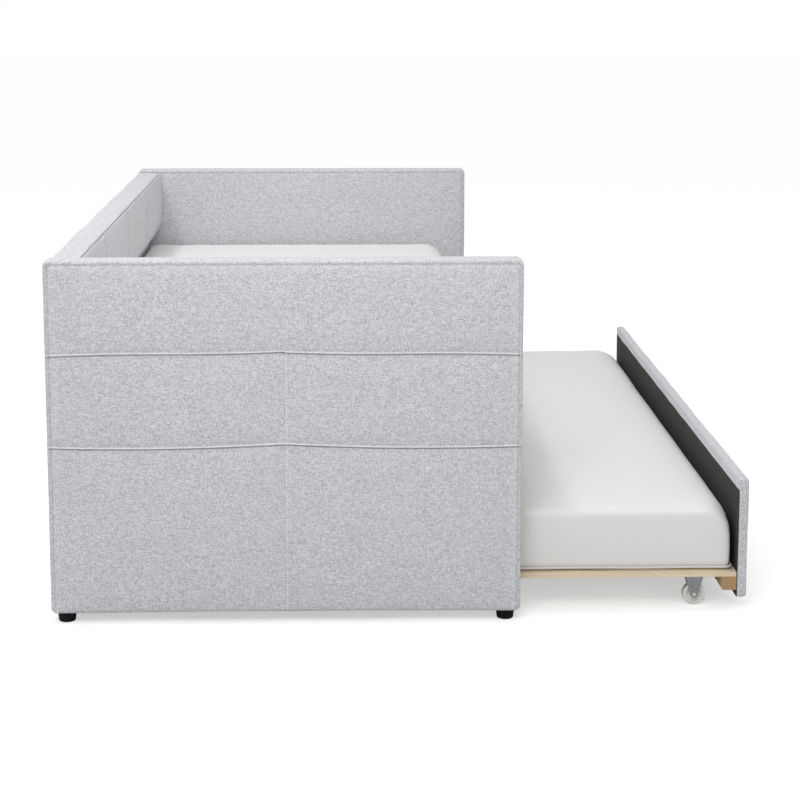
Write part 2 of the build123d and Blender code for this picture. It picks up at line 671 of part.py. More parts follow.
with BuildPart() as trundle_back_rail:
    back_rail_z = (trundle_ledger_z[0], trundle_ledger_z[0] + trundle_back_rail_height)
    block((-trundle_half, trundle_half), (trundle_back_y, trundle_rear_y), back_rail_z)
    cut_flush_screws(trundle_back_ledger_screws, REAR, trundle_ledger_screw)
trundle_back_rail.part.label = "trundle_back_rail"
export_step(trundle_back_rail.part, "parts/trundle_back_rail.step")

with BuildPart() as trundle_ledger_screws:
    flush_screws(trundle_front_ledger_screws, FRONT, trundle_ledger_screw)
    flush_screws(trundle_back_ledger_screws, REAR, trundle_ledger_screw)
trundle_ledger_screws.part.label = "trundle_ledger_screws"
export_step(trundle_ledger_screws.part, "parts/trundle_ledger_screws.step")

# Three wide plywood boards carry the casters, one at each end and one in the middle.
for name, x in zip(("left", "middle", "right"), trundle_board_middles):
    board_x = (x - trundle_end_board_width / 2, x + trundle_end_board_width / 2)
    with BuildPart() as trundle_board:
        block(board_x, trundle_board_y, trundle_board_z)
        cut_flush_screws(board_screw_spots([x]), DOWN, trundle_slat_screw)
        for y in caster_y:
            holes = plate_screw_spots(x, y, trundle_board_z[0] - lay)
            rods(holes, UP, plate_screw[0] + screw_clear, plate_screw[1], Mode.SUBTRACT)
    trundle_board.part.label = f"trundle_{name}_board"
    export_step(trundle_board.part, f"parts/trundle_{name}_board.step")

with BuildPart() as trundle_slats:
    for x in trundle_slat_x:
        slat_x = (x - trundle_slat_width / 2, x + trundle_slat_width / 2)
        block(slat_x, trundle_board_y, trundle_board_z)
    cut_flush_screws(board_screw_spots(trundle_slat_x), DOWN, trundle_slat_screw)
trundle_slats.part.label = "trundle_slats"
export_step(trundle_slats.part, "parts/trundle_slats.step")

with BuildPart() as trundle_slat_screws:
    flush_screws(board_spots, DOWN, trundle_slat_screw)
trundle_slat_screws.part.label = "trundle_slat_screws"
export_step(trundle_slat_screws.part, "parts/trundle_slat_screws.step")

with BuildPart() as trundle_slat_straps:
    strap_z = (trundle_board_z[1] + lay / 2, trundle_board_z[1] + strap_thick)
    front_strap_y0 = trundle_board_y[0] + strap_inset
    rear_strap_y0 = trundle_board_y[1] - strap_inset - strap_width
    for strap_y0 in (front_strap_y0, rear_strap_y0):
        block((-trundle_half, trundle_half), (strap_y0, strap_y0 + strap_width), strap_z)
trundle_slat_straps.part.label = "trundle_slat_straps"
export_step(trundle_slat_straps.part, "parts/trundle_slat_straps.step")

with BuildPart() as trundle_mattress:
    with BuildSketch(Plane.XY.offset(trundle_mattress_z0)):
        with Locations((0, sum(trundle_mattress_y) / 2)):
            trundle_mattress_width = trundle_mattress_y[1] - trundle_mattress_y[0]
            RectangleRounded(2 * trundle_mattress_half, trundle_mattress_width, mattress_corner)
    extrude(amount=trundle_mattress_thick)
    fillet(trundle_mattress.faces().filter_by(Axis.Z).edges(), radius=mattress_edge)
trundle_mattress.part.label = "trundle_mattress"
export_step(trundle_mattress.part, "parts/trundle_mattress.step")

# Rigid casters: a pressed fork whose two ears hold a riveted axle, and a nylon wheel on the axle.
ear_inside = wheel_hub_width / 2 + fork_side_clear
for name, (x, y) in casters.items():
    with BuildPart() as caster_fork:
        plate_x = (x - plate_length / 2, x + plate_length / 2)
        block(plate_x, (y - plate_width / 2, y + plate_width / 2), plate_z)
        fillet(caster_fork.edges().filter_by(Axis.Z), radius=plate_screw[2])
        for ear_x in (x - ear_inside - fork_sheet, x + ear_inside):
            with BuildSketch(Plane(origin=(ear_x, y, wheel_radius), x_dir=REAR, z_dir=RIGHT)):
                Circle(fork_end_radius)
                with Locations((0, plate_z[0] - wheel_radius - fork_sheet / 2)):
                    Rectangle(fork_top_width, fork_sheet)
                make_hull()
                Circle(axle_radius + running_clear, mode=Mode.SUBTRACT)
            extrude(amount=fork_sheet)
        holes = plate_screw_spots(x, y, plate_z[0])
        rods(holes, UP, plate_screw[0] + screw_clear, fork_sheet, Mode.SUBTRACT)
    caster_fork.part.label = f"{name}_caster_fork"
    export_step(caster_fork.part, f"parts/{name}_caster_fork.step")

    with BuildPart() as caster_wheel:
        axle_plane = Plane(origin=(x, y, wheel_radius), x_dir=RIGHT, z_dir=FRONT)
        bore_radius = axle_radius + running_clear
        with BuildSketch(axle_plane):
            with Locations((0, (bore_radius + wheel_hub_radius) / 2)):
                Rectangle(wheel_hub_width, wheel_hub_radius - bore_radius)
            with Locations((0, (wheel_hub_radius + wheel_rim_inside) / 2)):
                Rectangle(wheel_web_width, wheel_rim_inside - wheel_hub_radius)
            with Locations((0, (wheel_rim_inside + wheel_radius) / 2)):
                Rectangle(wheel_width, wheel_radius - wheel_rim_inside)
        revolve(axis=Axis((x, y, wheel_radius), RIGHT))
        tread_edges = caster_wheel.edges().filter_by(GeomType.CIRCLE).filter_by(
            lambda edge: abs(edge.radius - wheel_radius) < running_clear)
        fillet(tread_edges, radius=wheel_edge_round)
        rib_middle = (wheel_hub_radius + wheel_rim_inside) / 2
        rib_start = (x - wheel_rib_width / 2, y, wheel_radius)
        with BuildSketch(Plane(origin=rib_start, x_dir=REAR, z_dir=RIGHT)):
            with PolarLocations(rib_middle, wheel_rib_count):
                Rectangle(wheel_rim_inside - wheel_hub_radius + wheel_rib_thick, wheel_rib_thick)
        extrude(amount=wheel_rib_width)
    caster_wheel.part.label = f"{name}_caster_wheel"
    export_step(caster_wheel.part, f"parts/{name}_caster_wheel.step")

with BuildPart() as caster_axles:
    axle_half = ear_inside + fork_sheet + running_clear
    centres = [(x, y, wheel_radius) for x, y in casters.values()]
    axle_starts = [(x - axle_half, y, z) for x, y, z in centres]
    axle_ends = [(x + axle_half, y, z) for x, y, z in centres]
    rods(axle_starts, RIGHT, axle_radius, 2 * axle_half)
    rods(axle_starts, LEFT, axle_head_radius, axle_head_height)
    rods(axle_ends, RIGHT, axle_head_radius, axle_head_height)
    fillet(caster_axles.edges().filter_by(GeomType.CIRCLE).filter_by(
        lambda edge: abs(edge.radius - axle_head_radius) < running_clear
        and min(abs(abs(edge.center().X - x) - axle_half - axle_head_height) for x, y, z in centres)
        < running_clear), radius=axle_head_height / 2)
caster_axles.part.label = "caster_axles"
export_step(caster_axles.part, "parts/caster_axles.step")

with BuildPart() as caster_screws:
    for x, y in casters.values():
        spots = plate_screw_spots(x, y, plate_z[0] - lay)
        rods(spots, UP, plate_screw[0], plate_screw[1])
        rods(spots, DOWN, plate_screw[2], plate_screw_head_height)
caster_screws.part.label = "caster_screws"
export_step(caster_screws.part, "parts/caster_screws.step")
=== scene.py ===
import math

import bpy
import numpy as np
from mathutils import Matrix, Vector
from mathutils.bvhtree import BVHTree


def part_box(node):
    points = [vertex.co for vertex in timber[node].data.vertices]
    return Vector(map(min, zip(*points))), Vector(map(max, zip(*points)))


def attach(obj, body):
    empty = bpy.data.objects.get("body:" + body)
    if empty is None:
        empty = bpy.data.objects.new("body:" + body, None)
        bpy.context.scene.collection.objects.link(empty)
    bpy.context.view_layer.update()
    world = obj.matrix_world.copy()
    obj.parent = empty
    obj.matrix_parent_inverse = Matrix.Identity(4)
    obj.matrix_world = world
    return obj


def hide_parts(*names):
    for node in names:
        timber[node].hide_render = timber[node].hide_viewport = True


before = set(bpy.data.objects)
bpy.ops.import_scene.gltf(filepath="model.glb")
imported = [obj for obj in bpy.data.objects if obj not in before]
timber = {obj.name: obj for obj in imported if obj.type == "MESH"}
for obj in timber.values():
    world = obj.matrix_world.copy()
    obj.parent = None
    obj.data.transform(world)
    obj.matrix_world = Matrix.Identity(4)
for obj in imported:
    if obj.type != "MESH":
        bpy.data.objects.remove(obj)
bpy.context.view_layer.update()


# ================================================================ arm frames
# Each arm is a ladder of planed pine posts and rails, screwed and glued, with a
# thin hardboard skin nailed to both faces so that the padding lies flat.
PINE_LIGHT = (0.76, 0.60, 0.40)
PINE_DARK = (0.55, 0.36, 0.19)
CUT_END_BROWN = (0.33, 0.19, 0.07)
HARDBOARD_BROWN = (0.26, 0.15, 0.08)
HARDBOARD_FIBRE = (0.38, 0.24, 0.14)


def new_finish(name, roughness, colour, others=()):
    """A finish of one roughness and one plain colour until more is wired in; others are (setting, value)."""
    finish = bpy.data.materials.new(name)
    finish.use_nodes = True
    shader = finish.node_tree.nodes["Principled BSDF"]
    for setting, value in (("Roughness", roughness), ("Base Color", (*colour, 1)), *others):
        shader.inputs[setting].default_value = value
    finish.diffuse_color = (*colour, 1)
    return finish


def wire(finish, kind, inputs=None, **settings):
    """Adds one shader node, its inputs given by name or number as a value or as another node's output."""
    node = finish.node_tree.nodes.new("ShaderNode" + kind)
    for key, value in settings.items():
        setattr(node, key, value)
    for key, value in (inputs or {}).items():
        if isinstance(value, bpy.types.NodeSocket):
            finish.node_tree.links.new(value, node.inputs[key])
        else:
            node.inputs[key].default_value = value
    return node


def arithmetic(finish, operation, *values):
    return wire(finish, "Math", dict(enumerate(values)), operation=operation).outputs[0]


def rescaled(finish, value, low, high, to_low=0.0, to_high=1.0):
    inputs = {0: value, 1: low, 2: high, 3: to_low, 4: to_high}
    return wire(finish, "MapRange", inputs, clamp=True).outputs[0]


def blended(finish, share, first, second):
    """A colour between two, by a share from 0 to 1."""
    node = wire(finish, "Mix", data_type="RGBA")
    for spot, value in ((0, share), (6, first), (7, second)):
        if isinstance(value, bpy.types.NodeSocket):
            finish.node_tree.links.new(value, node.inputs[spot])
        else:
            node.inputs[spot].default_value = value if spot == 0 else (*value, 1)
    return node.outputs[2]


def speckle(finish, vector, scale, detail=2.0, rough=0.5):
    inputs = {"Vector": vector, "Scale": scale, "Detail": detail, "Roughness": rough}
    return wire(finish, "TexNoise", inputs).outputs[0]


def put_on(finish, colour=None, roughness=None, height=None, depth=0.0005, strength=1.0):
    """Wires a colour, a roughness and a bump into the finish's shader."""
    shader = finish.node_tree.nodes["Principled BSDF"]
    links = finish.node_tree.links
    if colour is not None:
        links.new(colour, shader.inputs["Base Color"])
    if roughness is not None:
        links.new(roughness, shader.inputs["Roughness"])
    if height is not None:
        bump = wire(finish, "Bump", {"Height": height, "Distance": depth, "Strength": strength})
        links.new(bump.outputs[0], shader.inputs["Normal"])
    return finish


def own_place(finish):
    """The place on the piece itself, in metres."""
    return wire(finish, "TexCoord").outputs["Object"]


def split_place(finish):
    return wire(finish, "SeparateXYZ", {0: own_place(finish)}).outputs


def facing_way(finish):
    """The way a point of the piece looks, split by axis."""
    return wire(finish, "SeparateXYZ", {0: wire(finish, "TexCoord").outputs["Normal"]}).outputs


def planed_timber(name, along, light, dark):
    """Softwood with growth rings along one axis: an end shows arcs, and a face shows long grain."""
    finish = new_finish(name, 0.6, light)
    long_way = [70.0, 70.0, 70.0]
    long_way["xyz".index(along)] = 2.2
    place = wire(finish, "Mapping", {"Vector": own_place(finish), "Scale": long_way}).outputs[0]
    sway = speckle(finish, place, 0.35, 2.0)
    rings = wire(
        finish, "TexWave",
        {"Vector": place, "Scale": 0.55, "Distortion": 5.0, "Detail": 2.0, "Detail Scale": 0.7},
        wave_type="RINGS", rings_direction=along.upper(),
    ).outputs[1]
    pores = speckle(finish, place, 9.0, 3.0, 0.7)
    share = arithmetic(finish, "MULTIPLY_ADD", rings, 0.55, rescaled(finish, pores, 0.3, 0.75, 0, 0.4))
    tone = blended(finish, rescaled(finish, share, 0.1, 1.0), light, dark)
    faded = blended(finish, rescaled(finish, sway, 0.35, 0.65, 0.0, 0.35), tone, light)
    roughness = rescaled(finish, pores, 0.2, 0.8, 0.5, 0.72)
    # Cut ends soak up more and look browner.
    cut_end = arithmetic(finish, "ABSOLUTE", facing_way(finish)["xyz".index(along)])
    browned = blended(finish, rescaled(finish, cut_end, 0.6, 0.9, 0.0, 0.75), faded, CUT_END_BROWN)
    return put_on(finish, browned, roughness, share, 0.0004, 0.35)


def paint(finish, *names):
    """Gives timber, steel and other carried-over pieces their finish."""
    for name in names:
        for spot in timber[name].material_slots:
            spot.material = finish


pine_upright = planed_timber("pine_upright", "z", PINE_LIGHT, PINE_DARK)
paint(pine_upright, "left_arm_frame", "right_arm_frame", "back_frame")

hardboard = new_finish("pressed_hardboard", 0.7, HARDBOARD_BROWN)
fibre = speckle(hardboard, own_place(hardboard), 260.0, 4.0, 0.7)
fibre_tone = blended(hardboard, fibre, HARDBOARD_BROWN, HARDBOARD_FIBRE)
put_on(hardboard, fibre_tone, None, fibre, 0.0003, 0.5)
paint(hardboard, "left_arm_skins", "right_arm_skins")


# ================================================================ arm covers
# Grey heathered linen over thin padding. The outer face is sewn from panels: a lapped
# seam at two heights and, below the upper one, a plain seam down the middle. A narrow
# strip is sewn round the edge of both faces.
ARM_ROUND = 0.008
ARM_CORNER = 0.013
EDGE_SEAM = 0.0085
UPPER_SEAM = 0.643
LOWER_SEAM = 0.426
LAP_STITCH_DROP = 0.0066
DOWN_SEAM_ASIDE = 0.0026
OUTER_PLUMP = 0.0058
INNER_PLUMP = 0.0030
BOTTOM_LIFT = 0.003
LINEN_SHADE = (0.405, 0.410, 0.440)
LINEN_BODY = (0.565, 0.570, 0.600)
LINEN_FLECK = (0.800, 0.806, 0.832)
LINEN_COOL = (0.60, 0.63, 0.71)
# The next two colours are painted light: a painted highlight along the tops of the lapped folds, and painted
# shade in the seams.
FOLD_HIGHLIGHT_PAINT = (0.93, 0.93, 0.94)
SEAM_SHADE_PAINT = (0.20, 0.205, 0.225)
WEAVE_PER_METRE = 5200.0
THREAD_GREY = (0.88, 0.89, 0.91)
THREAD_SHADE = (0.82, 0.83, 0.85)


def woven_place(finish):
    """How far a point is across the cloth and up it, whichever way the face looks."""
    x, y, z = split_place(finish)[:3]
    facing = facing_way(finish)
    nx, ny, nz = [arithmetic(finish, "ABSOLUTE", facing[i]) for i in range(3)]
    sideways = arithmetic(finish, "GREATER_THAN", nx, arithmetic(finish, "MAXIMUM", ny, nz))
    upwards = arithmetic(finish, "GREATER_THAN", nz, arithmetic(finish, "MAXIMUM", nx, ny))
    across = wire(finish, "Mix", {0: sideways, 2: x, 3: y}).outputs[0]
    up = wire(finish, "Mix", {0: upwards, 2: z, 3: y}).outputs[0]
    return across, up


def thread_noise(finish, across, up, per_metre_across, per_metre_up, seed):
    """Slubby threads: noise stretched along the thread."""
    place = wire(finish, "CombineXYZ", {
        0: arithmetic(finish, "MULTIPLY", across, per_metre_across),
        1: arithmetic(finish, "MULTIPLY", up, per_metre_up),
        2: seed,
    }).outputs[0]
    return speckle(finish, place, 1.0, 0.6, 0.5)


def ripples(finish, along, per_metre):
    """Regular ridges along one way; per_metre is in radians."""
    return arithmetic(finish, "SINE", arithmetic(finish, "MULTIPLY", along, per_metre))


def heathered_linen(name, shade, body, fleck):
    """Flat-woven linen look: pale and dark slubs both ways, a fine weave in the bump, and a soft sheen."""
    soft = (("Sheen Weight", 0.25), ("Sheen Roughness", 0.5), ("Specular IOR Level", 0.25))
    finish = new_finish(name, 0.92, body, soft)
    across, up = woven_place(finish)
    weft = thread_noise(finish, across, up, 96.0, 520.0, 1.3)
    warp = thread_noise(finish, across, up, 520.0, 120.0, 7.7)
    slub = thread_noise(finish, across, up, 440.0, 440.0, 4.1)
    tone = blended(finish, rescaled(finish, slub, 0.38, 0.62, 0.12, 0.92), shade, fleck)
    # Where a thread runs thin the shade shows through, and where it runs thick it is pale.
    for run, thin, shaded, thick, paled in ((weft, 0.34, 0.55, 0.55, 0.65), (warp, 0.33, 0.45, 0.56, 0.6)):
        tone = blended(finish, rescaled(finish, run, thin, thin + 0.10, shaded, 0.0), tone, shade)
        tone = blended(finish, rescaled(finish, run, thick, thick + 0.11, 0.0, paled), tone, fleck)
    heather = arithmetic(finish, "MULTIPLY_ADD", weft, 0.5, arithmetic(finish, "MULTIPLY", warp, 0.5))
    cloud = speckle(finish, own_place(finish), 7.0, 3.0)
    cool = blended(finish, rescaled(finish, cloud, 0.35, 0.65, 0.0, 0.10), tone, LINEN_COOL)
    threads_across = ripples(finish, across, WEAVE_PER_METRE)
    threads_up = ripples(finish, up, WEAVE_PER_METRE)
    weave = arithmetic(finish, "MULTIPLY", threads_across, threads_up)
    height = arithmetic(finish, "MULTIPLY_ADD", weave, 0.16, heather)
    roughness = rescaled(finish, heather, 0.4, 0.6, 0.97, 0.84)
    # Painted highlight along the tops of the folds and beside the seams, and painted shade under the folds
    # and along the seams, each read from a share stored on the cloth.
    fold_highlight = wire(finish, "Attribute", attribute_name="painted_fold_highlight").outputs[2]
    seam_shade = wire(finish, "Attribute", attribute_name="painted_seam_shade").outputs[2]
    highlighted = blended(finish, fold_highlight, cool, FOLD_HIGHLIGHT_PAINT)
    seam_shaded = blended(finish, seam_shade, highlighted, SEAM_SHADE_PAINT)
    return put_on(finish, seam_shaded, roughness, height, 0.0012, 0.55)


def mark_cloth(piece, name, share):
    """Writes a share from 0 to 1 at each point of a piece, which its finish reads by name."""
    layer = piece.data.attributes.new(name, "FLOAT", "POINT")
    layer.data.foreach_set("value", np.clip(share, 0, 1).astype(np.float32))


def near(distance, reach):
    """1 at no distance, and falling smoothly to nothing at two or three times the reach."""
    return np.exp(-((distance / reach) ** 2))


def spread_lines(start, end, wide, seams):
    """Net lines from start to end, wide apart but close by each seam, given as (place, reach, close)."""
    at = np.linspace(start, end, 6000)
    density = np.full(len(at), 1 / wide)
    for place, reach, close in seams:
        density += near(at - place, reach) / close
    total = np.concatenate([[0], np.cumsum((density[1:] + density[:-1]) / 2 * np.diff(at))])
    return np.interp(np.linspace(0, total[-1], int(total[-1]) + 2), total, at)


def box_net(xs, ys, zs):
    """The six faces of a box as one closed net of quads: its points and its faces."""
    counts = [len(xs), len(ys), len(zs)]
    i, j, k = np.meshgrid(*[np.arange(n) for n in counts], indexing="ij")
    skin = (i % (counts[0] - 1) == 0) | (j % (counts[1] - 1) == 0) | (k % (counts[2] - 1) == 0)
    number = np.full(counts, -1)
    number[skin] = np.arange(skin.sum())
    points = np.stack([xs[i[skin]], ys[j[skin]], zs[k[skin]]], 1)
    faces = []
    for axis in range(3):
        for end in (0, -1):
            face = np.take(number, end, axis=axis)
            quads = np.stack([face[:-1, :-1], face[1:, :-1], face[1:, 1:], face[:-1, 1:]], -1)
            quads = quads.reshape(-1, 4)
            faces.append(quads if (axis == 1) == (end == 0) else quads[:, ::-1])
    return points, np.concatenate(faces)


def rounded(points, low, high, axis, corner, edges):
    """Rounds a box's net, and gives its points and the way that each one looks. corner is the radius seen
    along the axis, and edges are those at its low and high faces: one value, or one for each point."""
    low, high = np.array(low), np.array(high)
    middle, half = (low + high) / 2, (high - low) / 2
    place = points - middle
    flat = [a for a in range(3) if a != axis]
    edge = np.where(place[:, axis] < 0, edges[0], edges[1])
    core = half[flat] - np.broadcast_to(corner, len(points))[:, None]
    beyond = place[:, flat] - np.clip(place[:, flat], -core, core)
    reach, length = np.abs(beyond).max(1), np.linalg.norm(beyond, axis=1)
    out = beyond / np.maximum(length, 1e-9)[:, None]
    place[:, flat] += out * (reach - length)[:, None]
    a = np.clip(reach - (corner - edge), 0, None)
    b = np.clip(np.abs(place[:, axis]) - (half[axis] - edge), 0, None)
    size = np.maximum(np.hypot(a, b), 1e-9)
    bent = (a > 0) & (b > 0)
    side = np.sign(place[:, axis])
    place[:, flat] += out * np.where(bent, edge * a / size - a, 0)[:, None]
    place[:, axis] = np.where(bent, side * (half[axis] - edge + edge * b / size), place[:, axis])
    look = np.zeros_like(place)
    look[:, flat] = out * (a / size)[:, None]
    look[:, axis] = side * b / size
    return place + middle, look


def soft_waves(points, size, height, seed):
    """Slow unevenness of padding, the same each time."""
    draw = np.random.default_rng(seed)
    total = np.zeros(len(points))
    for _ in range(7):
        way = draw.normal(size=3)
        way *= 2 * math.pi / size / np.linalg.norm(way) * draw.uniform(0.7, 1.6)
        total += np.sin(points @ way + draw.uniform(0, 6.3))
    return total / 7 * height * 1.6


def groove(distance, width, depth):
    return -depth * near(distance, width)


def lapped_fold(above):
    """Height of the cloth across a lapped seam, by how far above the seam a point is."""
    fold = 0.0030 * near(above - 0.0016, 0.0020)
    step_below = 0.0024 * near(above + 0.0022, 0.0014)
    stitches = 0.0008 * near(above + LAP_STITCH_DROP, 0.0015)
    dip_above = 0.0008 * near(above - 0.0075, 0.0030)
    return fold - step_below - stitches - dip_above


def box_of(node):
    """The low and the high corner of a solid's box."""
    return [np.array(corner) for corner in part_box(node)]


def piece_of(name, points, faces, finish, body):
    """A named piece from points and faces, smooth, with its finish, riding on its body."""
    mesh = bpy.data.meshes.new(name)
    corners = faces.tolist() if isinstance(faces, np.ndarray) else faces
    mesh.from_pydata(np.asarray(points).tolist(), [], corners)
    mesh.materials.append(finish)
    mesh.polygons.foreach_set("use_smooth", [True] * len(mesh.polygons))
    mesh.update()
    piece = bpy.data.objects.new(name, mesh)
    bpy.context.scene.collection.objects.link(piece)
    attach(piece, body)
    return piece


def stitch_row(cloth, line, look, pitch=0.0045, length=0.0032, thick=0.00055):
    """Short lengths of thread laid end to end along a line on the cloth; cloth is (points, faces).
    Each is six-sided and comes to a point at both ends, where it goes into the cloth."""
    sides = 6
    skin = BVHTree.FromPolygons(np.asarray(cloth[0]).tolist(), np.asarray(cloth[1]).tolist())
    line, look = np.asarray(line, float), np.asarray(look, float)
    far = np.concatenate([[0], np.cumsum(np.linalg.norm(np.diff(line, axis=0), axis=1))])
    starts = np.arange(pitch / 2, far[-1] - pitch / 2, pitch)
    points, faces = [], []
    for start in starts:
        ends = []
        for at in (start - length / 2, start + length / 2):
            spot = np.array([np.interp(at, far, line[:, i]) for i in range(3)])
            hit = skin.ray_cast(Vector(spot + look * 0.02), Vector(-look), 0.05)[0]
            if hit is not None:
                ends.append(np.array(hit) + look * thick * 0.35)
        if len(ends) < 2:
            continue
        way = ends[1] - ends[0]
        way /= np.linalg.norm(way)
        side = np.cross(look, way)
        first = len(points)
        points.append(ends[0] - look * thick * 0.5)
        for share in (0.22, 0.78):
            middle = ends[0] + (ends[1] - ends[0]) * share
            for turn in range(sides):
                angle = turn / sides * 2 * math.pi
                points.append(middle + (side * math.cos(angle) + look * math.sin(angle)) * thick)
        points.append(ends[1] - look * thick * 0.5)
        near_ring, far_ring, tip = first + 1, first + 1 + sides, first + 1 + 2 * sides
        for turn in range(sides):
            after = (turn + 1) % sides
            faces.append([first, near_ring + after, near_ring + turn])
            faces.append([near_ring + turn, near_ring + after, far_ring + after, far_ring + turn])
            faces.append([tip, far_ring + turn, far_ring + after])
    return points, faces


def sewn_lines(name, rows, finish, body):
    """One piece from several rows of stitches."""
    points, faces = [], []
    for row_points, row_faces in rows:
        faces += [[corner + len(points) for corner in face] for face in row_faces]
        points += row_points
    return piece_of(name, points, faces, finish, body)


linen = heathered_linen("grey_linen_cloth", LINEN_SHADE, LINEN_BODY, LINEN_FLECK)
thread = new_finish("grey_sewing_thread", 0.6, THREAD_GREY)
twist = speckle(thread, own_place(thread), 2400.0, 2.0)
put_on(thread, blended(thread, twist, THREAD_GREY, THREAD_SHADE), None, twist, 0.0002, 0.5)


def upper_rise(along):
    """How far the upper seam lifts above its ends; along runs from -1 at the front to 1 at the rear."""
    t = 1 - np.abs(along)
    peak = np.where(along > 0, 0.0095, 0.0078)
    return peak * t + 0.0018 * np.sin(2 * math.pi * t)


def lower_rise(along):
    """The same for the lower seam, which dips before it lifts."""
    t = 1 - np.abs(along)
    return 0.0068 * t ** 2 - 0.0042 * np.sin(math.pi * t)


def arm_cloth(side, low, high):
    """The cloth of one arm, -1 for the left and 1 for the right: its net, where its middle seam runs,
    and how much painted highlight and painted seam shade each point gets."""
    seam_y = (low[1] + high[1]) / 2
    y_seams = [(seam_y, 0.006, 0.0010), (low[1], 0.010, 0.0016), (high[1], 0.010, 0.0016)]
    z_seams = [(UPPER_SEAM, 0.008, 0.0008), (LOWER_SEAM, 0.008, 0.0008)]
    z_seams += [(low[2], 0.010, 0.0016), (high[2], 0.010, 0.0016)]
    xs = spread_lines(low[0], high[0], 0.009, [(low[0], 0.008, 0.002), (high[0], 0.008, 0.002)])
    ys = spread_lines(low[1], high[1], 0.014, y_seams)
    zs = spread_lines(low[2], high[2], 0.014, z_seams)
    points, faces = box_net(xs, ys, zs)
    points, look = rounded(points, low, high, 0, ARM_CORNER, (ARM_ROUND, ARM_ROUND))
    along = (points[:, 1] - seam_y) / ((high[1] - low[1]) / 2)
    outer = np.clip(look[:, 0] * side, 0, 1) ** 2
    inner = np.clip(-look[:, 0] * side, 0, 1) ** 2
    # The sewn lines of the outer face climb a little towards the middle.
    z = points[:, 2]
    near_upper = np.interp(z, [low[2], LOWER_SEAM, UPPER_SEAM, high[2]], [0, 0, 1, 0])
    near_lower = np.interp(z, [low[2], LOWER_SEAM, UPPER_SEAM, high[2]], [0, 1, 0, 0])
    lift = outer * (near_upper * upper_rise(along) + near_lower * lower_rise(along))
    upper, lower = z - UPPER_SEAM, z - LOWER_SEAM
    points[:, 2] += lift
    # The bottom edge rises a little between the feet.
    points[:, 2] += BOTTOM_LIFT * (1 - along ** 2) * np.clip((0.075 - z) / 0.05, 0, 1)
    bottom_far = points[:, 2] - low[2] + 0.02
    rim = np.min([points[:, 1] - low[1], high[1] - points[:, 1], high[2] - points[:, 2], bottom_far], axis=0)
    face = outer + inner
    height = face * groove(rim - EDGE_SEAM, 0.0016, 0.0016)
    below_upper = 1 / (1 + np.exp(upper / 0.0006))
    mid = points[:, 1] - seam_y
    plump = 1 - near(rim, 0.035)
    for gap in (upper, lower, np.where(upper < 0, np.abs(mid), 1.0)):
        plump = plump * (1 - 0.85 * near(gap, 0.03) * outer)
    height += (INNER_PLUMP * inner + OUTER_PLUMP * outer) * plump - 0.0012 * face
    height += outer * (lapped_fold(upper) + lapped_fold(lower))
    ridge = 0.0012 * near(mid + DOWN_SEAM_ASIDE, 0.0014)
    height += outer * below_upper * (groove(mid, 0.0014, 0.0011) + ridge)
    height += 0.0010 * (1 - face) * np.cos((points[:, 0] - (low[0] + high[0]) / 2) * 40)
    height += soft_waves(points, 0.22, 0.0009, 11 if side < 0 else 12) * (0.4 + 0.6 * face)
    pucker = np.sin(points[:, 1] * 330 + 2.1 * np.sin(points[:, 1] * 57))
    height += outer * 0.00022 * pucker * np.exp(-np.minimum(np.abs(upper), np.abs(lower)) / 0.008)
    fold, under_fold, above_fold, stitch_line = [
        near(upper - offset, reach) + near(lower - offset, reach)
        for offset, reach in ((0.0014, 0.0013), (-0.0024, 0.0014), (0.0062, 0.0022), (-0.0068, 0.0012))
    ]
    edge_seam = near(rim - EDGE_SEAM, 0.0017)
    down_seam = below_upper * near(mid, 0.0012)
    beside_seam = below_upper * near(mid + DOWN_SEAM_ASIDE, 0.0013)
    beside_rim = near(rim - 0.016, 0.0045)
    # Painted highlight makes the lit top of each lapped fold paler, along with the cloth beside the middle
    # seam and inside the edge seam. Painted shade makes the cloth darker under the folds, just above them,
    # along the stitch lines, down the middle seam and round the edge seam.
    fold_highlight = outer * (0.95 * fold + 0.55 * beside_seam + 0.25 * beside_rim)
    seam_shade = outer * (0.60 * under_fold + 0.20 * above_fold + 0.16 * stitch_line + 0.12 * down_seam)
    seam_shade += 0.38 * face * edge_seam
    return points + look * height[:, None], faces, seam_y, fold_highlight, seam_shade


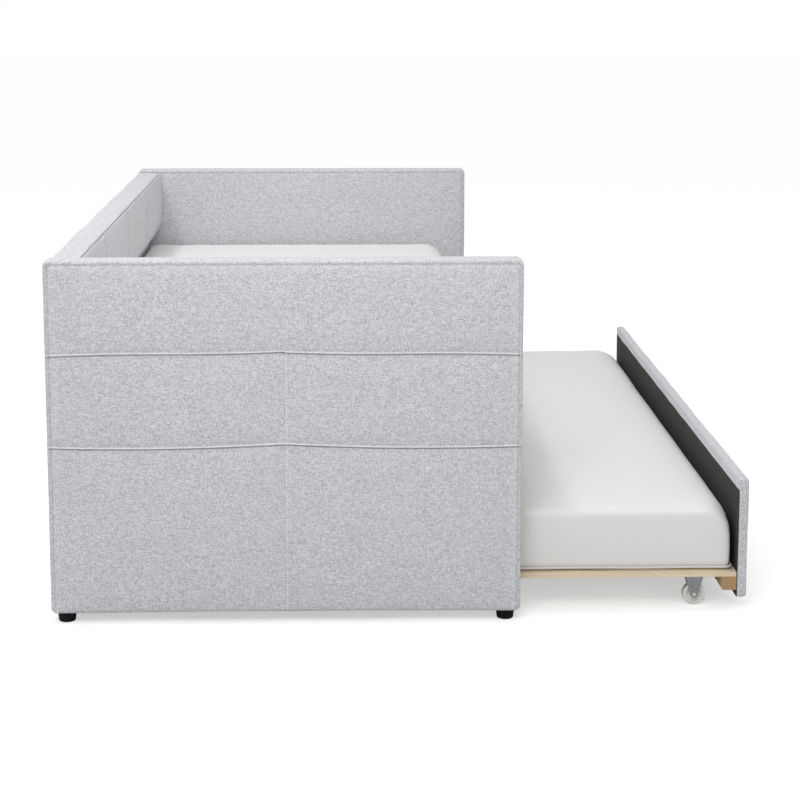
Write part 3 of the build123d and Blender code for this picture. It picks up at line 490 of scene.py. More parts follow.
for side, arm in ((-1, "left_arm"), (1, "right_arm")):
    low, high = box_of(arm + "_cover")
    points, faces, seam_y, fold_highlight, seam_shade = arm_cloth(side, low, high)
    cover = piece_of(arm + "_upholstery", points, faces, linen, "daybed")
    # Stores the painted highlight and the painted seam shade for the linen finish.
    mark_cloth(cover, "painted_fold_highlight", fold_highlight)
    mark_cloth(cover, "painted_seam_shade", seam_shade)
    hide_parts(arm + "_cover")
    face_x = high[0] if side > 0 else low[0]
    out = np.array([side, 0.0, 0.0])
    ys = np.linspace(low[1] + EDGE_SEAM + 0.003, high[1] - EDGE_SEAM - 0.003, 80)
    across = np.full_like(ys, face_x)
    along = (ys - seam_y) / ((high[1] - low[1]) / 2)
    rows = []
    for height_at, rise in ((UPPER_SEAM, upper_rise), (LOWER_SEAM, lower_rise)):
        line = np.stack([across, ys, height_at - LAP_STITCH_DROP + rise(along)], 1)
        rows.append(stitch_row((points, faces), line, out))
    zs = np.linspace(low[2] + 0.006, UPPER_SEAM + 0.004, 20)
    line = [(face_x, seam_y - DOWN_SEAM_ASIDE, z) for z in zs]
    rows.append(stitch_row((points, faces), line, out, pitch=0.0080, length=0.0052, thick=0.0009))
    for way in (1, -1):
        x = high[0] if way > 0 else low[0]
        top, front, rear = high[2] - EDGE_SEAM, low[1] + EDGE_SEAM, high[1] - EDGE_SEAM
        turn, foot = 0.006, low[2] + 0.01
        cut = turn * 0.3
        rim = [(x, front, foot), (x, front, top - turn), (x, front + cut, top - cut)]
        rim += [(x, front + turn, top), (x, rear - turn, top), (x, rear - cut, top - cut)]
        rim += [(x, rear, top - turn), (x, rear, foot)]
        look = np.array([float(way), 0, 0])
        rows.append(stitch_row((points, faces), rim, look, pitch=0.006, length=0.0034, thick=0.0005))
    sewn_lines(arm + "_stitching", rows, thread, "daybed")


# ================================================================ arm base linings
# The underside of each arm is closed with black spun lining cloth, pulled flat and
# stapled up inside the edge of the cover.
LINING_BLACK = (0.032, 0.028, 0.025)
LINING_DOTS_PER_METRE = 2600.0
UNDERSIDE_SAG = 0.0016


def spun_lining(name, colour):
    """Black spun cloth: a fine embossed dot pattern and stray fibres."""
    finish = new_finish(name, 0.85, colour)
    across, up = woven_place(finish)
    rows_across = ripples(finish, across, LINING_DOTS_PER_METRE)
    rows_up = ripples(finish, up, LINING_DOTS_PER_METRE)
    dots = arithmetic(finish, "MULTIPLY", rows_across, rows_up)
    fibres = speckle(finish, own_place(finish), 420.0, 4.0, 0.75)
    lighter = tuple(2.0 * part for part in colour)
    tone = blended(finish, rescaled(finish, fibres, 0.45, 0.75, 0.0, 0.7), colour, lighter)
    height = arithmetic(finish, "MULTIPLY_ADD", dots, 0.3, fibres)
    return put_on(finish, tone, rescaled(finish, fibres, 0.3, 0.7, 0.75, 0.95), height, 0.0006, 0.6)


def sheet_net(us, vs, place):
    """A net of quads over two runs of lines; place gives a point for each pair."""
    u, v = np.meshgrid(us, vs, indexing="ij")
    number = np.arange(u.size).reshape(u.shape)
    quads = np.stack([number[:-1, :-1], number[1:, :-1], number[1:, 1:], number[:-1, 1:]], -1)
    return np.stack(place(u.ravel(), v.ravel()), 1), quads.reshape(-1, 4)


def thin_cloth(piece, thick):
    layer = piece.modifiers.new("cloth thickness", "SOLIDIFY")
    layer.thickness = thick
    layer.offset = 0.0


lining = spun_lining("black_spun_lining", LINING_BLACK)
for arm in ("left_arm", "right_arm"):
    node = arm + "_base_lining"
    low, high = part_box(node)
    middle_z = (low[2] + high[2]) / 2 + 0.0004

    def lining_place(x, y):
        sag = UNDERSIDE_SAG * np.sin(math.pi * np.clip((y - low[1]) / (high[1] - low[1]), 0, 1))
        return x, y, middle_z + 0.0002 * np.sin(y * 60 + x * 90) + sag

    xs, ys = np.linspace(low[0], high[0], 9), np.linspace(low[1], high[1], 90)
    points, faces = sheet_net(xs, ys, lining_place)
    under = piece_of(arm + "_underside_cloth", points, faces, lining, "daybed")
    thin_cloth(under, 0.0006)
    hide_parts(node)


# ================================================================ feet
# Four short round feet of black moulded plastic, each held up into the arm by one
# screw from below.
FOOT_BLACK = (0.009, 0.008, 0.008)
FOOT_SCUFF = (0.04, 0.04, 0.04)

moulded_black = new_finish("black_moulded_plastic", 0.5, FOOT_BLACK, [("Specular IOR Level", 0.12)])
grain = speckle(moulded_black, own_place(moulded_black), 900.0, 3.0)
scuff = speckle(moulded_black, own_place(moulded_black), 60.0, 4.0, 0.7)
scuffed = rescaled(moulded_black, scuff, 0.55, 0.8, 0, 0.5)
foot_tone = blended(moulded_black, scuffed, FOOT_BLACK, FOOT_SCUFF)
put_on(moulded_black, foot_tone, rescaled(moulded_black, scuff, 0.3, 0.7, 0.45, 0.65), grain, 0.0003, 0.4)
paint(moulded_black, "front_left_foot", "front_right_foot", "rear_left_foot", "rear_right_foot")


# ================================================================ back
# A pine frame faced with plywood, wrapped in linen. Above the mattress it is padded
# in four channels, with a flat strip along the top and the padding turned in below.
CHANNELS = (-0.482, 0.0, 0.482)
STRIP_ROUND = 0.011
BACK_CORNER = 0.014
TURN_IN_TOP = 0.715
CHANNEL_DEPTH = 0.0056
PLY_LIGHT = (0.88, 0.76, 0.57)
PLY_DARK = (0.60, 0.43, 0.25)
PLY_LAYER = 0.0024


def plywood_finish(name, layer):
    """Plywood: long grain on its faces, and light and dark layers on its edges, each this thick."""
    finish = new_finish(name, 0.6, PLY_LIGHT)
    z = split_place(finish)[2]
    place = wire(finish, "Mapping", {"Vector": own_place(finish), "Scale": (60, 5, 60)}).outputs[0]
    veins = speckle(finish, place, 1.0, 4.0, 0.7)
    pores = speckle(finish, place, 8.0, 3.0, 0.7)
    layers = ripples(finish, z, math.pi / layer)
    level = arithmetic(finish, "ABSOLUTE", facing_way(finish)[2])
    edge_on = arithmetic(finish, "LESS_THAN", level, 0.5)
    banded = arithmetic(finish, "MULTIPLY", rescaled(finish, layers, -0.3, 0.3), edge_on)
    grain_share = rescaled(finish, veins, 0.35, 0.7, 0.0, 0.55)
    face_tone = blended(finish, grain_share, PLY_LIGHT, PLY_DARK)
    tone = blended(finish, arithmetic(finish, "MULTIPLY", banded, 0.32), face_tone, PLY_DARK)
    fine = blended(finish, rescaled(finish, pores, 0.5, 0.8, 0.0, 0.35), tone, PLY_DARK)
    return put_on(finish, fine, rescaled(finish, pores, 0.3, 0.7, 0.5, 0.7), pores, 0.0004, 0.4)


plywood = plywood_finish("birch_plywood", PLY_LAYER)
paint(plywood, "back_board", "trundle_front_board")

low, high = box_of("back_cover")
pad_low = box_of("back_pad")[0]
rear, front, top = high[1], pad_low[1], high[2]
pad_bottom = pad_low[2]
thin, thick = high[1] - low[1], high[1] - front
back_low = np.array([low[0], front, low[2]])
back_high = np.array([high[0], rear, top])
x_seams = [(x, 0.007, 0.0010) for x in CHANNELS]
x_seams += [(low[0], 0.014, 0.0018), (high[0], 0.014, 0.0018)]
xs = spread_lines(low[0], high[0], 0.012, x_seams)
ys = spread_lines(front, rear, 0.008, [(front, 0.010, 0.0013), (rear, 0.008, 0.0018)])
z_seams = [(top, 0.012, 0.0012), (pad_bottom + 0.01, 0.03, 0.003), (0.69, 0.04, 0.005)]
zs = spread_lines(low[2], top, 0.014, z_seams)
points, back_faces = box_net(xs, ys, zs)
# The back's ends stay square over the stiles, and only the padding is rounded there.
from_stile = np.clip((high[0] - 0.002 - np.abs(points[:, 0])) / 0.04, 0, 1)
rear_round = 0.0024 + 0.0056 * from_stile
behind = np.clip((points[:, 1] - front - 0.030) / 0.010, 0, 1)
top_corner = BACK_CORNER + (rear_round + 0.0004 - BACK_CORNER) * behind
points, look = rounded(points, back_low, back_high, 1, top_corner, (STRIP_ROUND, rear_round))
x, z = points[:, 0].copy(), points[:, 2].copy()
forward = np.clip(-look[:, 1], 0, 1)
upward = np.clip(look[:, 2], 0, 1)
padded_zone = np.clip((z - pad_bottom) / 0.012, 0, 1)
# The padding thins out to nothing where it turns in above the mattress.
turn = np.clip((TURN_IN_TOP - z) / (TURN_IN_TOP - pad_bottom), 0, 1) ** 1.6
depth = thin + (thick - thin) * (1 - turn)
points[:, 1] = rear - (rear - points[:, 1]) * depth / thick
from_channel = np.min([np.abs(x - place) for place in CHANNELS], axis=0)
from_end = np.minimum(x - low[0], high[0] - x)
from_top_seam = np.clip(top - 0.004 - z, 0, None)
shoulder = 1 - np.exp(-((from_top_seam / 0.022) ** 1.5))
plump = (1 - 1.1 * near(from_channel, 0.030)) * (1 - near(from_end, 0.02))
lower_fade = np.clip((z - pad_bottom) / 0.06, 0, 1)
height = forward * padded_zone * shoulder * lower_fade * (0.0045 + 0.0040 * plump)
channel = groove(from_channel, 0.0032, CHANNEL_DEPTH) * np.clip(from_top_seam / 0.006, 0, 1)
height += forward * padded_zone * channel
pucker = np.sin(z * 300 + 1.7 * np.sin(z * 71 + x * 13))
height += forward * padded_zone * 0.00035 * pucker * np.exp(-from_channel / 0.010)
front_edge = (look[:, 1] < -0.05) & (look[:, 2] > 0.05)
arc = np.arctan2(look[:, 2], -look[:, 1]) - math.pi / 4
height += np.where(front_edge, groove(arc * STRIP_ROUND, 0.0022, 0.0034), 0)
gather = np.sin(x * 290 + 2.3 * np.sin(x * 41))
height += np.where(front_edge, 0.0003 * gather * np.exp(-np.abs(arc) * 2.5), 0)
height += upward * 0.0012 * np.sin(x * 9.0 + 0.6) * (1 - forward) + upward * 0.0015
height += soft_waves(points, 0.20, 0.0013, 21) * np.clip(z - 0.4, 0, 0.3) / 0.3
back_points = points + look * height[:, None]
back = piece_of("upholstered_back", back_points, back_faces, linen, "daybed")
# Painted shade darkens the cloth along the channel seams and along the seam under the top strip.
channel_seam_shade = forward * padded_zone * near(from_channel, 0.0030)
strip_seam_shade = np.where(front_edge, near(arc * STRIP_ROUND, 0.0020), 0)
mark_cloth(back, "painted_seam_shade", 0.80 * channel_seam_shade + 0.70 * strip_seam_shade)
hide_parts("back_cover", "back_pad")
rows = []
for place in CHANNELS:
    zs = np.linspace(pad_bottom + 0.02, top - 0.016, 30)
    line = [(place + 0.0034, front - 0.01, z) for z in zs]
    rows.append(stitch_row((back_points, back_faces), line, np.array([0.0, -1.0, 0.0])))
slant = np.array([0.0, -1.0, 1.0]) / math.sqrt(2)
line = [(x, front + 0.0052, top - 0.0022) for x in (low[0] + 0.02, high[0] - 0.02)]
rows.append(stitch_row((back_points, back_faces), line, slant))
sewn_lines("back_stitching", rows, thread, "daybed")


# ================================================================ front rail
# A pine board between the arms, padded and wrapped in the same linen, with a row of
# stitches along its upper edge.
RAIL_SEAM_DROP = 0.0125
RAIL_STITCH_DROP = 0.0160


def wrapped_board(node, axis, corner, edges, wide, seams, seed, bulge=0.0012):
    """The cloth round a padded board, from its solid's box: its net, the way each point looks, and how
    far out the padding puts it."""
    low, high = box_of(node)
    lines = []
    for way in range(3):
        close = [(low[way], 0.010, 0.0022), (high[way], 0.010, 0.0022)] + seams.get(way, [])
        lines.append(spread_lines(low[way], high[way], wide[way], close))
    points, faces = box_net(*lines)
    points, look = rounded(points, low, high, axis, corner, edges)
    rim = [points[:, way] - low[way] for way in range(3) if way != axis]
    rim += [high[way] - points[:, way] for way in range(3) if way != axis]
    rim = np.min(rim, axis=0)
    height = look[:, axis] ** 2 * bulge * (1 - near(rim, 0.03))
    height += soft_waves(points, 0.18, 0.0009, seed)
    return points, faces, look, height, low, high


pine_lengthwise = planed_timber("pine_lengthwise", "x", PINE_LIGHT, PINE_DARK)
paint(pine_lengthwise, "front_rail")
points, faces, look, height, low, high = wrapped_board(
    "front_rail_cover", 1, 0.009, (0.009, 0.004), (0.014, 0.006, 0.010), {2: [(0.4275, 0.004, 0.001)]}, 31
)
from_seam = points[:, 2] - (high[2] - RAIL_SEAM_DROP)
height += np.clip(-look[:, 1], 0, 1) ** 2 * groove(from_seam, 0.0015, 0.0014)
points = points + look * height[:, None]
rail = piece_of("front_rail_upholstery", points, faces, linen, "daybed")
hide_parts("front_rail_cover")
line = [(x, low[1], high[2] - RAIL_STITCH_DROP) for x in (low[0] + 0.01, high[0] - 0.01)]
row = stitch_row((points, faces), line, np.array([0.0, -1.0, 0.0]))
sewn_lines("front_rail_stitching", [row], thread, "daybed")


# ================================================================ bed slats
# Fourteen pine slats lie on square ledgers screwed to the front rail and the back,
# joined by two webbing straps that keep them evenly apart.
STRAP_CREAM = (0.72, 0.66, 0.52)
STRAP_SHADE = (0.52, 0.46, 0.34)

pine_crosswise = planed_timber("pine_crosswise", "y", PINE_LIGHT, PINE_DARK)
paint(pine_crosswise, "bed_slats", "trundle_slats")
paint(pine_lengthwise, "front_slat_ledger", "back_slat_ledger")

webbing = new_finish("cream_webbing", 0.85, STRAP_CREAM, [("Sheen Weight", 0.2)])
strap_x, strap_y = split_place(webbing)[:2]
diagonal = arithmetic(webbing, "ADD", strap_x, strap_y)
twill = ripples(webbing, diagonal, 3600.0)
fuzz = speckle(webbing, own_place(webbing), 700.0, 3.0)
strap_tone = blended(webbing, rescaled(webbing, twill, -1, 1, 0.1, 0.6), STRAP_CREAM, STRAP_SHADE)
put_on(webbing, strap_tone, rescaled(webbing, fuzz, 0.3, 0.7, 0.75, 0.95), twill, 0.0004, 0.6)
paint(webbing, "bed_slat_straps", "trundle_slat_straps")


# ================================================================ steel fittings
# Pressed corner brackets, bolts, threaded inserts and screws of bright zinc-plated
# steel, which hang the rail and the back on the arms and hold the slats.
ZINC = (0.52, 0.53, 0.55)


def plated_steel(name, roughness, colour):
    """Plated steel: faint crystals, and duller smears."""
    finish = new_finish(name, roughness, colour, [("Metallic", 1.0)])
    crystals = wire(finish, "TexVoronoi", {"Vector": own_place(finish), "Scale": 420.0}).outputs[0]
    smear = speckle(finish, own_place(finish), 140.0, 4.0, 0.7)
    dull = tuple(0.72 * part for part in colour)
    tone = blended(finish, rescaled(finish, smear, 0.35, 0.7), colour, dull)
    rough = rescaled(finish, smear, 0.3, 0.7, roughness * 0.75, roughness * 1.5)
    height = arithmetic(finish, "MULTIPLY_ADD", crystals, 0.3, smear)
    return put_on(finish, tone, rough, height, 0.0002, 0.25)


zinc = plated_steel("bright_zinc_plate", 0.30, ZINC)
paint(zinc, "corner_brackets", "bracket_bolts", "threaded_inserts", "foot_screws", "ledger_screws")
paint(zinc, "slat_screws", "trundle_ledger_screws", "trundle_slat_screws", "caster_screws")


# ================================================================ mattresses
# Two foam mattresses in smooth off-white knit, the upper one thicker. Their top
# edges are softly rounded, and a thin welt is sewn round the bottom edge.
KNIT_WHITE = (0.825, 0.819, 0.808)
KNIT_FUZZ = (0.6, 0.59, 0.57)
WELT_WHITE = (0.70, 0.69, 0.67)
BOTTOM_ROUND = 0.018
REAR_ROUND = 0.012
FOAM_VOXEL = 0.011
FOAM_PRESSURE = 4.0
SWELL_CAP = 0.0065
SWELL_ROOM = 0.003
CROWN = 0.006
WELT_RADIUS = 0.0028
WELT_CORNER = 0.020
WELT_INSET = 0.003
WELT_UP = 0.0085
# What each rides on, the radius of its front top edge along most of its length, the same edge's radius
# near the ends, the radius of the edges at the ends, and the seed of its unevenness.
MATTRESSES = {
    "bed_mattress": ("daybed", 0.055, 0.060, 0.030, 41),
    "trundle_mattress": ("trundle", 0.036, 0.066, 0.020, 42),
}


def stretch_knit(name, colour):
    """Close knit: fine ribs both ways, faint unevenness, and a satin softness."""
    finish = new_finish(name, 0.62, colour, (("Sheen Weight", 0.15), ("Specular IOR Level", 0.35)))
    across, up = woven_place(finish)
    ribs = ripples(finish, across, 4200.0)
    courses = ripples(finish, up, 3100.0)
    loops = arithmetic(finish, "MULTIPLY", ribs, courses)
    fuzz = speckle(finish, own_place(finish), 520.0, 3.0, 0.6)
    cloud = speckle(finish, own_place(finish), 5.0, 3.0)
    warmer = tuple(part * tint for part, tint in zip(colour, (0.965, 0.955, 0.93)))
    tone = blended(finish, rescaled(finish, cloud, 0.35, 0.65, 0.0, 0.3), colour, warmer)
    speckled = blended(finish, rescaled(finish, fuzz, 0.5, 0.75, 0.0, 0.10), tone, KNIT_FUZZ)
    height = arithmetic(finish, "MULTIPLY_ADD", loops, 0.35, fuzz)
    return put_on(finish, speckled, rescaled(finish, fuzz, 0.3, 0.7, 0.55, 0.72), height, 0.0005, 0.30)


def welt_round(name, low, high, finish, body):
    """A thin piped welt that follows the mattress's outline just above its bottom edge."""
    inset = WELT_INSET + WELT_CORNER
    cx, cy = (high[0] + low[0]) / 2, (high[1] + low[1]) / 2
    hx, hy = (high[0] - low[0]) / 2 - inset, (high[1] - low[1]) / 2 - inset
    line, way, steps = [], [], 12
    for quarter, (sx, sy) in enumerate(((1, 1), (-1, 1), (-1, -1), (1, -1))):
        for step in range(steps + 1):
            angle = (quarter + step / steps) * math.pi / 2
            out = (math.cos(angle), math.sin(angle))
            line.append((cx + sx * hx + WELT_CORNER * out[0], cy + sy * hy + WELT_CORNER * out[1]))
            way.append(out)
    line, way = np.array(line), np.array(way)
    loop = np.concatenate([line, line[:1]])
    far = np.concatenate([[0], np.cumsum(np.linalg.norm(np.diff(loop, axis=0), axis=1))])
    ways = np.concatenate([way, way[:1]])
    spacing, sides = 0.012, 8
    count = int(far[-1] / spacing)
    at = np.linspace(0, far[-1], count, endpoint=False)
    px, py = np.interp(at, far, loop[:, 0]), np.interp(at, far, loop[:, 1])
    ox, oy = np.interp(at, far, ways[:, 0]), np.interp(at, far, ways[:, 1])
    z = low[2] + WELT_UP + 0.0004 * np.sin(at * 23)
    rings = []
    for turn in range(sides):
        angle = turn / sides * 2 * math.pi
        out, up = WELT_RADIUS * math.cos(angle), WELT_RADIUS * math.sin(angle)
        rings.append(np.stack([px + ox * out, py + oy * out, z + up], 1))
    points = np.stack(rings, 1).reshape(-1, 3)
    number = np.arange(count * sides).reshape(count, sides)
    nxt, side_on = np.roll(number, -1, axis=0), np.roll(number, -1, axis=1)
    both = np.roll(nxt, -1, axis=1)
    faces = np.stack([number, nxt, both, side_on], -1).reshape(-1, 4)
    return piece_of(name, points, faces, finish, body)


def plump_up(piece):
    """Lets air pressure swell the cloth for twenty steps, no point moving further than the cap."""
    bpy.context.view_layer.objects.active = piece
    for other in bpy.context.selected_objects:
        other.select_set(False)
    piece.select_set(True)
    piece.data.remesh_voxel_size = FOAM_VOXEL
    bpy.ops.object.voxel_remesh()
    count = len(piece.data.vertices)
    before = np.zeros(count * 3)
    piece.data.vertices.foreach_get("co", before)
    cloth = piece.modifiers.new("swelling", "CLOTH")
    cloth.settings.use_pressure = True
    cloth.settings.uniform_pressure_force = FOAM_PRESSURE
    cloth.settings.quality = 4
    cloth.settings.tension_stiffness = 40
    cloth.settings.compression_stiffness = 40
    cloth.settings.bending_stiffness = 5
    cloth.settings.effector_weights.gravity = 0
    cloth.collision_settings.use_collision = False
    steps = 20
    cloth.point_cache.frame_start, cloth.point_cache.frame_end = 1, steps
    for step in range(1, steps + 1):
        bpy.context.scene.frame_set(step)
    shape = piece.evaluated_get(bpy.context.evaluated_depsgraph_get())
    after = np.zeros(count * 3)
    shape.data.vertices.foreach_get("co", after)
    piece.modifiers.remove(cloth)
    move = (after - before).reshape(-1, 3)
    far = np.linalg.norm(move, axis=1)
    move *= (SWELL_CAP * np.tanh(far / SWELL_CAP) / np.maximum(far, 1e-9))[:, None]
    piece.data.vertices.foreach_set("co", (before.reshape(-1, 3) + move).ravel())
    piece.data.update()
    bpy.context.scene.frame_set(1)


knit = stretch_knit("off_white_knit", KNIT_WHITE)
tape = stretch_knit("off_white_welt", WELT_WHITE)
for node, (body, shoulder, end_shoulder, end_round, seed) in MATTRESSES.items():
    low, high = box_of(node)
    room = SWELL_ROOM
    small_low, small_high = low + (room, room, 0), high - room
    lines = []
    for way, wide in enumerate((0.020, 0.020, 0.012)):
        close = [(small_low[way], 0.05, 0.010), (small_high[way], 0.05, 0.010)]
        lines.append(spread_lines(small_low[way], small_high[way], wide, close))
    points, faces = box_net(*lines)
    middle_z = (small_low[2] + small_high[2]) / 2
    from_end = np.minimum(points[:, 0] - low[0], high[0] - points[:, 0])
    front_round = shoulder + (end_shoulder - shoulder) * near(from_end, 0.055)
    top_round = np.where(points[:, 1] > (low[1] + high[1]) / 2, REAR_ROUND, front_round)
    corner = np.where(points[:, 2] > middle_z, top_round, BOTTOM_ROUND)
    up_side = np.clip((points[:, 2] - small_low[2]) / (small_high[2] - small_low[2]) * 2 - 0.5, 0, 1)
    end_edge = BOTTOM_ROUND * 0.6 + (end_round - BOTTOM_ROUND * 0.6) * up_side
    points, look = rounded(points, small_low, small_high, 0, corner, (end_edge, end_edge))
    edge_far = np.min([*(points - low)[:, :2].T, *(high - points)[:, :2].T], axis=0)
    crown = CROWN * (1 - 2 / 3 * near(edge_far, 0.10))
    height = np.where(look[:, 2] > 0.3, crown, 0)
    height += soft_waves(points, 0.45, 0.0014, seed) * (look[:, 2] > -0.5)
    side_on = 1 - look[:, 2] ** 2
    share_up = np.clip((points[:, 2] - low[2]) / (high[2] - low[2]), 0, 1)
    height += side_on * 0.002 * np.sin(math.pi * share_up)
    points = points + look * height[:, None]
    mattress = piece_of(node + "_foam", points, faces, knit, body)
    plump_up(mattress)
    welt_round(node + "_welt", low, high, tape, body)
    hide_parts(node)


# ================================================================ trundle front
# A plywood board wrapped in padded linen. The end faces are sewn in with a seam all
# round, and black lining cloth covers the inner face up to the turned-over strip.
END_SEAM = 0.0040
END_STITCHES = 0.0052
LINING_SUNK = 0.0026

lining_low, lining_high = box_of("trundle_front_lining")
points, faces, look, height, low, high = wrapped_board(
    "trundle_front_cover", 1, 0.0085, (0.0085, 0.0055), (0.014, 0.004, 0.012),
    {2: [(lining_high[2], 0.006, 0.001)]}, 51, 0.0010
)
inward = np.clip(look[:, 1], 0, 1) ** 2
above_hem = points[:, 2] - lining_high[2]
step_down = 1 / (1 + np.exp((above_hem - 0.0012) / 0.0005))
height = np.where(inward * step_down > 0.5, -LINING_SUNK, height)
height += inward * 0.0008 * near(above_hem - 0.0035, 0.0018)
end_face = look[:, 0] ** 2
from_edge = np.min([*(points - low)[:, 1:].T, *(high - points)[:, 1:].T], axis=0)
height += end_face * groove(from_edge - END_SEAM, 0.0011, 0.0012)
upward = np.clip(look[:, 2], 0, 1)
height += upward * (0.0009 * np.sin(points[:, 0] * 7.3 + 0.8) + 0.0006 * np.sin(points[:, 0] * 19.0))
points = points + look * height[:, None]
front_board = piece_of("trundle_front_upholstery", points, faces, linen, "trundle")
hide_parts("trundle_front_cover")
rows = []
for way in (-1, 1):
    x = high[0] if way > 0 else low[0]
    y0, z0 = low[1:] + END_STITCHES
    y1, z1 = high[1:] - END_STITCHES
    soft = 0.004
    ring = [(x, y0, z0 + soft), (x, y0, z1 - soft), (x, y0 + soft, z1), (x, y1 - soft, z1)]
    ring += [(x, y1, z1 - soft), (x, y1, z0 + soft), (x, y1 - soft, z0), (x, y0 + soft, z0)]
    look = np.array([float(way), 0, 0])
    rows.append(stitch_row((points, faces), ring, look, pitch=0.0050, length=0.0030, thick=0.0005))
sewn_lines("trundle_front_stitching", rows, thread, "trundle")


def inner_lining_place(x, z):
    from_hem = np.clip((lining_high[2] - z) / 0.2, 0, 1)
    wave = 0.0005 * np.sin(x * 31 + 1.5 * np.sin(x * 7)) * from_hem * (1 - from_hem) * 4
    return x, np.full_like(x, lining_high[1] - 0.0006) + wave - 0.0002, z


xs = np.linspace(lining_low[0] + 0.001, lining_high[0] - 0.001, 220)
zs = np.linspace(lining_low[2] + 0.001, lining_high[2] - 0.0005, 34)
points, faces = sheet_net(xs, zs, inner_lining_place)
inner_lining = piece_of("trundle_front_lining_cloth", points, faces, lining, "trundle")
thin_cloth(inner_lining, 0.0007)
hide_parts("trundle_front_lining")


# ================================================================ trundle frame
# Square pine ledgers run along the front board and a pine rail along the back, with
# plywood boards at both ends and the middle and thin slats between them.
paint(pine_lengthwise, "trundle_front_ledger", "trundle_back_ledger", "trundle_back_rail")
paint(plywood, "trundle_left_board", "trundle_middle_board", "trundle_right_board")


# ================================================================ casters
# Six fixed casters: a white nylon wheel on a rivet between the ears of a bright steel
# fork, whose plate is screwed up into the boards.
NYLON_WHITE = (0.86, 0.86, 0.84)
NYLON_WORN = (0.70, 0.70, 0.67)
FORK_STEEL = (0.36, 0.37, 0.385)
RIVET_STEEL = (0.80, 0.81, 0.83)

nylon = new_finish("white_nylon", 0.32, NYLON_WHITE, (
    ("Subsurface Weight", 0.35), ("Subsurface Radius", (0.006, 0.006, 0.006)), ("Subsurface Scale", 0.6),
))
scratches = speckle(nylon, own_place(nylon), 320.0, 4.0, 0.7)
nylon_tone = blended(nylon, rescaled(nylon, scratches, 0.45, 0.8, 0, 0.4), NYLON_WHITE, NYLON_WORN)
put_on(nylon, nylon_tone, rescaled(nylon, scratches, 0.3, 0.7, 0.24, 0.45), scratches, 0.0002, 0.3)
bright_steel = plated_steel("caster_steel", 0.18, FORK_STEEL)
rivet_steel = plated_steel("rivet_steel", 0.12, RIVET_STEEL)
for end in ("front", "rear"):
    for place in ("left", "middle", "right"):
        paint(nylon, f"{end}_{place}_caster_wheel")
        paint(bright_steel, f"{end}_{place}_caster_fork")
paint(rivet_steel, "caster_axles")


# ================================================================ floor, light and camera
# A plain pale floor under a bright even sky, with two lamps overhead and one beside the
# left arm, and a long lens that looks along the bed from well outside that arm.
FLOOR_SPAN = 30.0
FLOOR_PALE = (0.72, 0.72, 0.72)
FLOOR_GLOW = 0.50
WALL_LIGHT = 0.62
CEILING_LIGHT = 0.95
CAMERA_PLACE = (-5.102, 0.147, 1.501)
CAMERA_YAW = math.radians(-1.155)
CAMERA_DOWN = math.radians(8.22)
LENS_LENGTH = 80.87
LENS_SHIFT = (0.03, -0.2)

floor_mesh = bpy.data.meshes.new("studio_floor")
floor_corners = [(FLOOR_SPAN * x, FLOOR_SPAN * y, 0) for x, y in ((-1, -1), (1, -1), (1, 1), (-1, 1))]
floor_mesh.from_pydata(floor_corners, [], [(0, 1, 2, 3)])
floor = bpy.data.objects.new("studio_floor", floor_mesh)
bpy.context.scene.collection.objects.link(floor)
floor_finish = new_finish("pale_floor", 0.9, FLOOR_PALE, (
    ("Specular IOR Level", 0.0), ("Emission Color", (1, 1, 1, 1)),
))
floor_shader = floor_finish.node_tree.nodes["Principled BSDF"]
# The floor looks overexposed, but throws no more light back than a pale floor does.
direct_look = wire(floor_finish, "LightPath").outputs["Is Camera Ray"]
seen_glow = arithmetic(floor_finish, "MULTIPLY", direct_look, FLOOR_GLOW)
floor_finish.node_tree.links.new(seen_glow, floor_shader.inputs["Emission Strength"])
floor_mesh.materials.append(floor_finish)

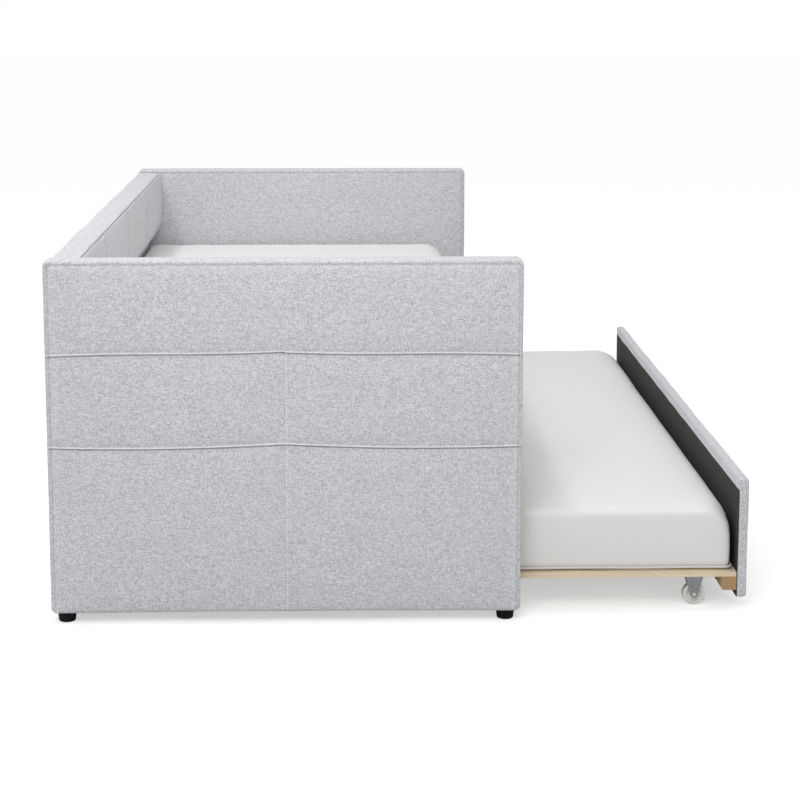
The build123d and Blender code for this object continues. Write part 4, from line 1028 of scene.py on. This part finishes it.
world = bpy.data.worlds.new("even_sky")
world.use_nodes = True
sky = world.node_tree
plain_sky = sky.nodes["Background"]
plain_sky.inputs[0].default_value = (1, 1, 1, 1)
plain_sky.inputs[1].default_value = 1.0
# What lights the room is brighter overhead than along the walls; the eye sees plain white behind the object.
way_up = wire(world, "SeparateXYZ", {0: wire(world, "TexCoord").outputs["Generated"]}).outputs[2]
strength = rescaled(world, way_up, 0.0, 1.0, WALL_LIGHT, CEILING_LIGHT)
room = wire(world, "Background", {1: strength}).outputs[0]
seen = wire(world, "LightPath").outputs["Is Camera Ray"]
choice = wire(world, "MixShader", {0: seen, 1: room, 2: plain_sky.outputs[0]}).outputs[0]
sky.links.new(choice, sky.nodes["World Output"].inputs[0])
bpy.context.scene.world = world


def softbox(name, place, aim, size, power):
    """A square-edged lamp that lights the room and is not seen itself."""
    lamp = bpy.data.lights.new(name, "AREA")
    lamp.shape = "RECTANGLE"
    lamp.size, lamp.size_y = size
    lamp.energy = power
    holder = bpy.data.objects.new(name, lamp)
    holder.location = place
    holder.rotation_euler = (Vector(aim) - Vector(place)).to_track_quat("-Z", "Y").to_euler()
    holder.visible_camera = False
    bpy.context.scene.collection.objects.link(holder)


softbox("lamp_above", (-0.6, 0.4, 4.2), (0, 0, 0.3), (3.0, 3.0), 15)
softbox("lamp_behind", (-0.2, 1.55, 3.3), (0.5, 0.5, 0.5), (0.45, 0.45), 27)
softbox("lamp_beside", (-2.8, 0.3, 2.2), (-0.9, 0.1, 0.75), (1.2, 0.9), 22)

lens = bpy.data.cameras.new("long_lens")
lens.lens = LENS_LENGTH
lens.sensor_width = 36
lens.shift_x, lens.shift_y = LENS_SHIFT
lens.clip_end = 200
camera = bpy.data.objects.new("long_lens", lens)
aim = Vector((
    math.cos(CAMERA_DOWN) * math.cos(CAMERA_YAW),
    math.cos(CAMERA_DOWN) * math.sin(CAMERA_YAW),
    -math.sin(CAMERA_DOWN),
))
camera.location = CAMERA_PLACE
camera.rotation_euler = aim.to_track_quat("-Z", "Y").to_euler()
bpy.context.scene.collection.objects.link(camera)
bpy.context.scene.camera = camera
bpy.context.scene.view_settings.view_transform = "Standard"
